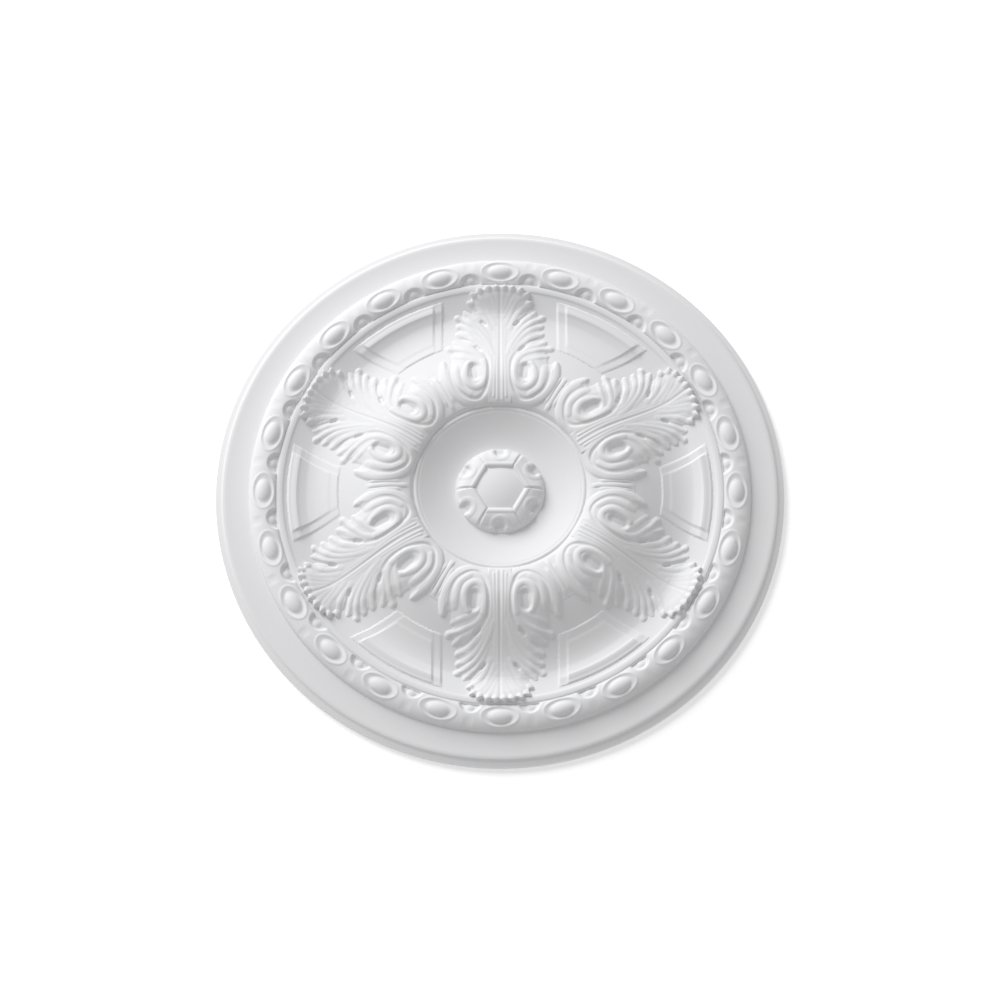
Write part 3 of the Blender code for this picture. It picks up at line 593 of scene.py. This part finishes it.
def dressed(context, name, sheet, sharp=None):
    """Turn the bmesh into a finished piece in the casting's own material."""
    bmesh.ops.recalc_face_normals(sheet, faces=sheet.faces)
    mesh = bpy.data.meshes.new(name)
    sheet.to_mesh(mesh)
    sheet.free()
    mesh.shade_smooth()
    if sharp:
        mesh.set_sharp_from_angle(angle=math.radians(sharp))
    mesh.materials.append(primed_white(context.scene.rose_finish))
    piece = bpy.data.objects.new(name, mesh)
    context.scene.collection.objects.link(piece)
    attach(piece, ROOT)
    return piece


CLOUD_DETAIL = 4.0
GRAIN_DETAIL = 3.0


def primed_white(finish):
    """Matt primer with a fine grain and a faint unevenness of tone."""
    if SLOT in bpy.data.materials:
        return bpy.data.materials[SLOT]
    material = bpy.data.materials.new(SLOT)
    material.use_nodes = True
    nodes, links = material.node_tree.nodes, material.node_tree.links
    shader = nodes["Principled BSDF"]
    shader.inputs["Roughness"].default_value = finish.roughness
    place = nodes.new("ShaderNodeTexCoord")
    cloud = nodes.new("ShaderNodeTexNoise")
    cloud.inputs["Scale"].default_value = finish.clouds
    cloud.inputs["Detail"].default_value = CLOUD_DETAIL
    links.new(place.outputs["Object"], cloud.inputs["Vector"])
    tone = nodes.new("ShaderNodeMix")
    tone.data_type = "RGBA"
    for socket, share in (("A", 1.0 - finish.unevenness), ("B", 1.0 + finish.unevenness)):
        tone.inputs[socket].default_value = (*(channel * share for channel in finish.colour[:3]), 1.0)
    links.new(cloud.outputs["Fac"], tone.inputs["Factor"])
    links.new(tone.outputs["Result"], shader.inputs["Base Color"])
    grain = nodes.new("ShaderNodeTexNoise")
    grain.inputs["Scale"].default_value = 1.0 / finish.grain
    grain.inputs["Detail"].default_value = GRAIN_DETAIL
    links.new(place.outputs["Object"], grain.inputs["Vector"])
    bump = nodes.new("ShaderNodeBump")
    bump.inputs["Strength"].default_value = finish.grain_strength
    bump.inputs["Distance"].default_value = finish.grain_depth
    links.new(grain.outputs["Fac"], bump.inputs["Height"])
    links.new(bump.outputs["Normal"], shader.inputs["Normal"])
    return material


def spaced(stops, step):
    """Values at about one step through a list of stops, with every stop kept."""
    values = [stops[0]]
    for start, stop in zip(stops, stops[1:]):
        count = max(1, round(abs(stop - start) / step))
        values.extend(start + (stop - start) * (index + 1) / count for index in range(count))
    return values


# How deep the band and the boss are bedded in the turned body, and the steps of that body's mesh
BED = 0.0030
ROUND_STEPS = 360
PROFILE_STEP = 0.0016

# The ring on the ledge keeps this share of the ledge clear at each side
RING_INSET = 1.0 / 7.0

# Gap that tells two radii apart, distance at which vertices merge, and the least angle of a crease
HAIR = 1e-5
MERGE = 1e-6
MOULDING_SHARP = 28


class ROSE_OT_turn_mouldings(bpy.types.Operator):
    """Turn the rim, hollow, fillet, cove, roll, ledge and well as one body with a flat back"""

    bl_idname = "rose.turn_mouldings"
    bl_label = "Turn Mouldings"

    def execute(self, context):
        scene = context.scene
        sizes = scene.rose_mouldings
        stops = [point[0] for point in turned_profile(sizes, scene.rose_boss)]
        stops = [stop for stop in stops if stop >= sizes.well_floor_radius]
        ledge = sizes.ledge_radius - sizes.well_radius
        ring_inner = sizes.well_radius + ledge * RING_INSET
        ring_outer = sizes.ledge_radius - ledge * RING_INSET
        stops = sorted(stops + [ring_inner, (ring_inner + ring_outer) / 2, ring_outer], reverse=True)
        radii = np.array(spaced(stops, PROFILE_STEP))
        heights = ground_height(scene, radii)
        middle, reach = (ring_inner + ring_outer) / 2, (ring_outer - ring_inner) / 2
        heights = heights + sizes.ring_rise * dome((radii - middle) / reach)
        covered = (radii < sizes.band_foot_radius - HAIR) & (radii > sizes.band_inner_radius + HAIR)
        heights = np.where(covered, sizes.band_foot_height - BED, heights)
        profile = [(0.0, 0.0), (sizes.rose_radius, 0.0)] + list(zip(radii, heights))
        profile += [(sizes.well_floor_radius - BED, sizes.well_floor_height - BED)]
        profile += [(0.0, sizes.well_floor_height - BED)]
        body = bmesh.new()
        row = [body.verts.new((radius, 0.0, height)) for radius, height in profile]
        edges = [body.edges.new(pair) for pair in zip(row, row[1:])]
        bmesh.ops.spin(body, geom=row + edges, cent=(0, 0, 0), axis=(0, 0, 1), angle=2 * math.pi,
                       steps=ROUND_STEPS, use_merge=True)
        bmesh.ops.remove_doubles(body, verts=body.verts, dist=MERGE)
        piece = dressed(context, "turned_mouldings", body, sharp=MOULDING_SHARP)
        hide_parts(NODE)
        return {"FINISHED"}


# The bead ring: how steeply an arch's edge falls, the oval on which a bead's groove runs, and the mesh
ARCH_STEEPNESS = 1.8
GROOVE_OVAL = 1.1
BAND_FOOT_ROUNDING = 0.0015
BAND_CELL = 0.00075
BAND_STEPS = 1680
BEAD_SEGMENTS = 40
BEAD_RINGS = 20


def ribbon_height(scene, x, y):
    """Height of the bead ring's band: loops of ribbon, grooves round the beads, recesses in the gaps."""
    sizes, beads = scene.rose_mouldings, scene.rose_beads
    radius, angle = np.hypot(x, y), np.arctan2(x, y)
    pitch = 2.0 * math.pi / beads.count
    turn = (angle + pitch / 2.0) % pitch - pitch / 2.0
    over = radius - beads.centre_radius
    along = turn * beads.centre_radius
    oval = np.hypot(along / beads.half_length, over / beads.half_width)
    groove = dome((oval - GROOVE_OVAL) * beads.half_width / beads.groove_width)
    loop_length, loop_width = beads.half_length + beads.loop_gap, beads.half_width + beads.loop_gap
    loop = np.hypot(along / loop_length, over / loop_width)
    loop = dome((loop - 1.0) * loop_width / beads.loop_half_width)
    half_gap = beads.centre_radius * (pitch / 2.0 - np.abs(turn))
    up = radius - sizes.band_inner_radius
    arch = 1.0 - (half_gap / beads.recess_half_width) ** 2 - (up / beads.recess_height) ** 2
    recess = beads.recess_depth * smooth_step(ARCH_STEEPNESS * arch)
    lump = dome(np.hypot(half_gap, up - beads.lump_radius) / beads.lump_radius)
    mark = dome(half_gap / beads.lump_radius) * smooth_step(over / beads.half_width)
    fade = smooth_step((sizes.band_foot_radius - radius) / beads.lump_radius)
    foot = smooth_step(up / BAND_FOOT_ROUNDING)
    relief = beads.loop_rise * loop * fade * (1.0 - smooth_step(ARCH_STEEPNESS * arch))
    relief -= beads.mark_depth * mark * fade + beads.groove_depth * groove
    relief += foot * (beads.lump_rise * lump - recess)
    return ground_height(scene, radius) + relief


class ROSE_OT_carve_ribbons(bpy.types.Operator):
    """Carve the half-round band with the ribbons that loop round the beads"""

    bl_idname = "rose.carve_ribbons"
    bl_label = "Carve Ribbons"

    def execute(self, context):
        scene = context.scene
        sizes = scene.rose_mouldings
        stops = [sizes.band_inner_radius, sizes.band_crest_radius, sizes.band_foot_radius]
        band = polar_sheet(spaced(stops, BAND_CELL), BAND_STEPS)
        lift(band, lambda x, y: ribbon_height(scene, x, y))
        foot = drop_walls(band, sizes.band_foot_height - 2 * BED)
        bmesh.ops.bridge_loops(band, edges=foot)
        dressed(context, "ribbon_band", band)
        return {"FINISHED"}


class ROSE_OT_set_beads(bpy.types.Operator):
    """Set the oval beads on the band"""

    bl_idname = "rose.set_beads"
    bl_label = "Set Beads"

    def execute(self, context):
        scene = context.scene
        beads = scene.rose_beads
        crest = scene.rose_mouldings.band_crest_height + beads.rise
        ring = bmesh.new()
        half_height = beads.half_width * beads.height_share
        shape = Matrix.Diagonal((beads.half_length, beads.half_width, half_height, 1.0))
        place = Matrix.Translation((0.0, beads.centre_radius, crest - half_height))
        bmesh.ops.create_uvsphere(ring, u_segments=BEAD_SEGMENTS, v_segments=BEAD_RINGS, radius=1.0,
                                  matrix=place @ shape)
        bead = ring.verts[:] + ring.edges[:] + ring.faces[:]
        whole_turn = 2.0 * math.pi
        bmesh.ops.spin(ring, geom=bead, cent=(0, 0, 0), axis=(0, 0, 1), steps=beads.count - 1,
                       angle=whole_turn * (beads.count - 1) / beads.count, use_duplicate=True)
        dressed(context, "oval_beads", ring)
        return {"FINISHED"}


# A coffer's mesh: its cell, the columns to its middle, how far its rim and its foot sink, and its creases
COFFER_CELL = 0.0016
COFFER_MIDDLE_STEPS = 18
COFFER_SINK = 0.0008
COFFER_FOOT = 0.0040
COFFER_SHARP = 24

# Height of the tread at the inner edge as a share of the panel's, the lip's half width in risers, and
# how late the panel rises towards its outer edge
INNER_TREAD_SHARE = 0.75
LIP_RISERS = 1.5
DISH_BEND = 3


class ROSE_OT_raise_coffers(bpy.types.Operator):
    """Raise the stepped panel between each pair of leaves"""

    bl_idname = "rose.raise_coffers"
    bl_label = "Raise Coffers"

    def execute(self, context):
        for index in range(LEAF_COUNT):
            self.raise_one(context, index)
        return {"FINISHED"}

    def raise_one(self, context, index):
        scene = context.scene
        sizes = scene.rose_coffers
        slope = sizes.step_width
        radii = spaced([
            sizes.inner_radius - slope, sizes.inner_radius, sizes.panel_inner_radius,
            sizes.panel_inner_radius + slope, sizes.panel_outer_radius, sizes.panel_outer_radius + slope,
            sizes.outer_radius, sizes.outer_radius + slope,
        ], COFFER_CELL)
        insets = spaced([-slope, 0.0, sizes.side_step, sizes.side_step + slope], COFFER_CELL)
        columns = 2 * (len(insets) + COFFER_MIDDLE_STEPS)
        panel = bmesh.new()
        bmesh.ops.create_grid(panel, x_segments=columns, y_segments=len(radii) - 1, size=1.0)
        for vertex in panel.verts:
            column = round((vertex.co.x + 1.0) / 2.0 * columns)
            radius = radii[round((vertex.co.y + 1.0) / 2.0 * (len(radii) - 1))]
            mirrored = column > columns // 2
            column = columns - column if mirrored else column
            angle = math.asin((sizes.side + insets[min(column, len(insets) - 1)]) / radius)
            further = max(0, column - len(insets) + 1) / (columns // 2 - len(insets) + 1)
            angle += (SECTOR / 2.0 - angle) * further
            angle = SECTOR - angle if mirrored else angle
            vertex.co = (radius * math.sin(angle), radius * math.cos(angle), 0.0)
        lift(panel, lambda x, y: coffer_height(scene, x, y))
        bmesh.ops.rotate(panel, verts=panel.verts, cent=(0, 0, 0),
                         matrix=Matrix.Rotation(-SECTOR * index, 3, "Z"))
        close_below(panel, COFFER_FOOT)
        dressed(context, f"coffer_{index + 1}", panel, sharp=COFFER_SHARP)


def coffer_height(scene, x, y):
    """Height of a coffer: bevelled sides, stepped inner edge, dished panel and a flat outer band."""
    sizes = scene.rose_coffers
    slope = sizes.step_width
    radius, angle = np.hypot(x, y), np.arctan2(x, y)
    inset = radius * np.sin(np.minimum(angle, SECTOR - angle)) - sizes.side
    along = (radius - sizes.inner_radius) / (sizes.panel_outer_radius - sizes.inner_radius)
    along = np.clip(along, 0.0, 1.0)
    panel = sizes.inner_rise + (sizes.outer_rise - sizes.inner_rise) * along + sizes.dish * along ** DISH_BEND
    low, high = sizes.riser / sizes.outer_rise, 1.0 - sizes.riser / sizes.outer_rise
    stops = (-slope, 0.0, sizes.side_step, sizes.side_step + slope)
    side = np.interp(inset, stops, (0.0, low, high, 1.0))
    tread = sizes.panel_inner_radius - sizes.inner_radius
    stops = (-slope, 0.0, tread, tread + slope)
    inner = np.interp(radius - sizes.inner_radius, stops, (0.0, INNER_TREAD_SHARE, INNER_TREAD_SHARE, 1.0))
    outer = np.interp(radius - sizes.outer_radius, (0.0, slope), (1.0, 0.0))
    share = np.minimum(np.minimum(side, inner), outer)
    step = np.interp(radius - sizes.panel_outer_radius, (0.0, slope), (0.0, sizes.band_rise))
    lip = LIP_RISERS * slope
    step = step + sizes.lip_rise * dome((radius - sizes.panel_outer_radius - lip) / lip)
    ground = ground_height(scene, radius)
    top = ground_height(scene, np.minimum(radius, sizes.panel_outer_radius)) + panel + step
    return ground + share * (top - ground) - COFFER_SINK * (share <= 0.0)


class ROSE_OT_carve_leaves(bpy.types.Operator):
    """Carve the six acanthus leaves with their scrolls"""

    bl_idname = "rose.carve_leaves"
    bl_label = "Carve Leaves"

    def execute(self, context):
        scene = context.scene
        sizes = scene.rose_leaves
        reach = sizes.tip_radius + SHEET_PAST_TIP - SHEET_START
        columns = round(SHEET_HALF_WIDTH / sizes.cell)
        rows = round(reach / sizes.cell)
        leaf = bmesh.new()
        bmesh.ops.create_grid(leaf, x_segments=columns, y_segments=rows, size=1.0)
        places = np.array([vertex.co for vertex in leaf.verts])
        across = (places[:, 0] + 1.0) / 2.0 * SHEET_HALF_WIDTH
        out = SHEET_START + (places[:, 1] + 1.0) / 2.0 * reach
        relief, margin = leaf_relief(scene, across, out)
        ground = ground_height(scene, np.minimum(np.hypot(across, out), sizes.curl_start))
        sunk = SKIRT_DEPTH * (1.0 - smooth_step((margin + SKIRT_START) / SKIRT_SLOPE))
        for vertex, x, y, z in zip(leaf.verts, across, out, ground + relief - sunk):
            vertex.co = Vector((x, y, z))
        kept = dict(zip(leaf.verts, margin > -SKIRT))
        spare = [face for face in leaf.faces if not any(kept[vertex] for vertex in face.verts)]
        bmesh.ops.delete(leaf, geom=spare, context="FACES")
        bmesh.ops.mirror(leaf, geom=leaf.verts[:] + leaf.edges[:] + leaf.faces[:],
                         matrix=Matrix.Identity(4), axis="X", merge_dist=MERGE)
        close_below(leaf, LEAF_FOOT)
        for index in range(LEAF_COUNT):
            turned = leaf.copy()
            bmesh.ops.rotate(turned, verts=turned.verts, cent=(0, 0, 0),
                             matrix=Matrix.Rotation(-SECTOR * index, 3, "Z"))
            dressed(context, f"acanthus_leaf_{index + 1}", turned)
        leaf.free()
        return {"FINISHED"}


# Angle of each flute from the middle one in degrees, and the share of the length at which it starts
FLUTE_ANGLES = (0.0, 2.4, 4.7)
FLUTE_STARTS = (0.0, 0.16, 0.34)

# Share over which a flute's ends fade, and how much sooner one ends that starts further out
FLUTE_FADE = 0.15
FLUTE_SHORTENING = 0.3

# The fan that carries them: half its angle, its cell, steps, lift over the roll and foot
FAN_HALF_ANGLE = math.radians(8.5)
FAN_CELL = 0.0010
FAN_STEPS = 68
FAN_LIFT = 0.00015
FAN_FOOT = 0.0300


def flute_height(scene, x, y):
    """Height of the roll between two scrolls, with its flutes."""
    sizes = scene.rose_flutes
    radius, angle = np.hypot(x, y), np.arctan2(x, y)
    from_axis = np.abs((angle % SECTOR) - SECTOR / 2.0)
    along = (radius - sizes.inner_radius) / (sizes.outer_radius - sizes.inner_radius)
    rise = np.zeros(radius.shape)
    for degrees, start in zip(FLUTE_ANGLES, FLUTE_STARTS):
        gap = radius * (from_axis - math.radians(degrees))
        stop = 1.0 - FLUTE_SHORTENING * start
        ends = smooth_step((along - start) / FLUTE_FADE) * smooth_step((stop - along) / FLUTE_FADE)
        rise = np.maximum(rise, ends * np.sqrt(dome(np.clip(gap / sizes.half_width, -1.0, 1.0))))
    return ground_height(scene, radius) + rise * sizes.rise


class ROSE_OT_cut_flutes(bpy.types.Operator):
    """Cut the flutes that fan out between neighbouring scrolls"""

    bl_idname = "rose.cut_flutes"
    bl_label = "Cut Flutes"

    def execute(self, context):
        scene = context.scene
        sizes = scene.rose_flutes
        radii = spaced([sizes.inner_radius, sizes.outer_radius], FAN_CELL)
        for index in range(LEAF_COUNT):
            start = SECTOR * (index + 0.5) - FAN_HALF_ANGLE
            fan = polar_sheet(radii, FAN_STEPS, sweep=2.0 * FAN_HALF_ANGLE, start=start)
            lift(fan, lambda x, y: flute_height(scene, x, y) + FAN_LIFT)
            close_below(fan, FAN_FOOT)
            dressed(context, f"flutes_{index + 1}", fan)
        return {"FINISHED"}


# Petals: how late they turn down, how seams widen outwards, how steep a hollow's edge is, and the bead
# round the hollow, by place, half width and share of the petal's bulge
PETAL_BEND = 1.5
SEAM_START = 0.5
HOLLOW_STEEPNESS = 2.0
HOLLOW_BEAD_PLACE = 1.35
HOLLOW_BEAD_HALF_WIDTH = 0.4
HOLLOW_BEAD_SHARE = 0.4

# The bead along a petal's inner edge, the step up to it, and the boss's mesh
EDGE_BEAD_PLACE = 0.0045
EDGE_BEAD_HALF_WIDTH = 0.0030
EDGE_BEAD_SHARE = 0.6
BUTTON_STEP_WIDTH = 0.0018
BOSS_CELL = 0.0007
BOSS_FOOT = 0.0100


def boss_height(scene, x, y):
    """Six petals, each turned over round a hollow, about a domed six-sided button."""
    sizes = scene.rose_boss
    floor = scene.rose_mouldings.well_floor_height
    radius, angle = np.hypot(x, y), np.arctan2(x, y)
    turn = (angle + SECTOR / 2.0) % SECTOR - SECTOR / 2.0
    flat, across = radius * np.cos(turn), radius * np.sin(turn)
    button_flat = sizes.button_radius * math.cos(SECTOR / 2.0)
    drop = sizes.crown_height - sizes.button_edge_height
    button = sizes.crown_height - drop * (radius / sizes.button_radius) ** 2
    outward = np.clip((flat - button_flat) / (sizes.shoulder_radius - button_flat), 0.0, 1.0)
    inner = sizes.button_edge_height + sizes.petal_step
    petal = inner + (sizes.shoulder_height - inner) * outward ** PETAL_BEND
    petal += sizes.petal_bulge * np.sin(math.pi * outward)
    from_seam = radius * np.sin(SECTOR / 2.0 - np.abs(turn))
    seam_width = sizes.seam_half_width * (SEAM_START + outward)
    petal -= sizes.seam_depth * (1.0 - smooth_step(from_seam / seam_width))
    from_hollow = np.hypot(across, np.minimum(flat - sizes.hollow_centre, 0.0)) / sizes.hollow_radius
    petal -= sizes.hollow_depth * smooth_step(HOLLOW_STEEPNESS * (1.0 - from_hollow))
    beads = HOLLOW_BEAD_SHARE * dome((from_hollow - HOLLOW_BEAD_PLACE) / HOLLOW_BEAD_HALF_WIDTH)
    beads += EDGE_BEAD_SHARE * dome((flat - button_flat - EDGE_BEAD_PLACE) / EDGE_BEAD_HALF_WIDTH)
    petal += sizes.petal_bulge * beads
    rim = scene.rose_mouldings.well_floor_radius
    wall = np.sqrt(dome(np.clip((radius - sizes.shoulder_radius) / (rim - sizes.shoulder_radius), 0.0, 1.0)))
    petal = floor + (petal - floor) * wall
    over = smooth_step((flat - button_flat) / BUTTON_STEP_WIDTH)
    return button + (petal - button) * over


class ROSE_OT_carve_boss(bpy.types.Operator):
    """Carve the petalled boss in the well"""

    bl_idname = "rose.carve_boss"
    bl_label = "Carve Boss"

    def execute(self, context):
        scene = context.scene
        radii = spaced([0.0, scene.rose_mouldings.well_floor_radius], BOSS_CELL)
        boss = polar_sheet(radii, ROUND_STEPS)
        lift(boss, lambda x, y: boss_height(scene, x, y))
        close_below(boss, BOSS_FOOT)
        dressed(context, "petalled_boss", boss)
        return {"FINISHED"}


class ROSE_OT_set_stage(bpy.types.Operator):
    """Lay the pale floor, and set the soft light and the camera"""

    bl_idname = "rose.set_stage"
    bl_label = "Set Stage"

    def execute(self, context):
        scene = context.scene
        self.lay_floor(scene)
        self.set_light(scene)
        self.set_camera(scene)
        return {"FINISHED"}

    def lay_floor(self, scene):
        settings = scene.rose_stage
        floor = bmesh.new()
        bmesh.ops.create_grid(floor, x_segments=1, y_segments=1, size=settings.floor_size)
        bmesh.ops.translate(floor, verts=floor.verts, vec=(0.0, 0.0, -settings.floor_gap))
        mesh = bpy.data.meshes.new("floor")
        floor.to_mesh(mesh)
        floor.free()
        material = bpy.data.materials.new("pale_floor")
        material.use_nodes = True
        shader = material.node_tree.nodes["Principled BSDF"]
        shader.inputs["Base Color"].default_value = settings.floor_colour
        shader.inputs["Roughness"].default_value = settings.floor_roughness
        shader.inputs["Emission Color"].default_value = WHITE
        shader.inputs["Emission Strength"].default_value = settings.floor_glow
        mesh.materials.append(material)
        piece = bpy.data.objects.new("floor", mesh)
        scene.collection.objects.link(piece)

    def set_light(self, scene):
        settings = scene.rose_stage
        toward = Vector((
            math.cos(settings.lamp_azimuth) * math.cos(settings.lamp_elevation),
            math.sin(settings.lamp_azimuth) * math.cos(settings.lamp_elevation),
            math.sin(settings.lamp_elevation),
        ))
        light = bpy.data.lights.new("soft_box", "AREA")
        light.shape = "DISK"
        light.size = settings.lamp_size
        light.energy = settings.lamp_power
        lamp = bpy.data.objects.new("soft_box", light)
        lamp.location = toward * settings.lamp_distance
        lamp.rotation_euler = toward.to_track_quat("Z", "Y").to_euler()
        scene.collection.objects.link(lamp)
        world = bpy.data.worlds.new("studio")
        world.use_nodes = True
        sky = world.node_tree.nodes["Background"]
        sky.inputs["Color"].default_value = WHITE
        sky.inputs["Strength"].default_value = settings.sky_strength
        scene.world = world
        scene.view_settings.view_transform = "Standard"

    def set_camera(self, scene):
        settings = scene.rose_stage
        camera = bpy.data.cameras.new("camera")
        camera.lens = settings.lens
        camera.sensor_width = SENSOR_WIDTH
        width = HIGH.x - LOW.x
        distance = width / settings.share * settings.lens / camera.sensor_width
        back = Vector((0.0, -math.cos(settings.elevation), math.sin(settings.elevation)))
        viewer = bpy.data.objects.new("camera", camera)
        viewer.location = back * distance + Vector((0.0, settings.aim, 0.0))
        viewer.rotation_euler = back.to_track_quat("Z", "Y").to_euler()
        scene.collection.objects.link(viewer)
        scene.camera = viewer


STEPS = (
    ROSE_OT_turn_mouldings,
    ROSE_OT_carve_ribbons,
    ROSE_OT_set_beads,
    ROSE_OT_raise_coffers,
    ROSE_OT_carve_leaves,
    ROSE_OT_cut_flutes,
    ROSE_OT_carve_boss,
    ROSE_OT_set_stage,
)


class ROSE_PT_panel(bpy.types.Panel):
    """The steps that carve the rose, in order, each with its sizes"""

    bl_label = "Ceiling Rose"
    bl_idname = "ROSE_PT_panel"
    bl_space_type = "VIEW_3D"
    bl_region_type = "UI"
    bl_category = "Rose"

    def draw(self, context):
        for step in STEPS:
            self.layout.operator(step.bl_idname)
        for name, group in SETTINGS.items():
            box = self.layout.box()
            for size in group.__annotations__:
                box.prop(getattr(context.scene, name), size)


def register():
    for name, group in SETTINGS.items():
        bpy.utils.register_class(group)
        setattr(bpy.types.Scene, name, PointerProperty(type=group))
    for step in STEPS:
        bpy.utils.register_class(step)
    bpy.utils.register_class(ROSE_PT_panel)


def unregister():
    bpy.utils.unregister_class(ROSE_PT_panel)
    for step in reversed(STEPS):
        bpy.utils.unregister_class(step)
    for name, group in SETTINGS.items():
        delattr(bpy.types.Scene, name)
        bpy.utils.unregister_class(group)


def main():
    register()
    bpy.ops.rose.turn_mouldings()
    bpy.ops.rose.carve_ribbons()
    bpy.ops.rose.set_beads()
    bpy.ops.rose.raise_coffers()
    bpy.ops.rose.carve_leaves()
    bpy.ops.rose.cut_flutes()
    bpy.ops.rose.carve_boss()
    bpy.ops.rose.set_stage()


if __name__ == "__main__":
    main()
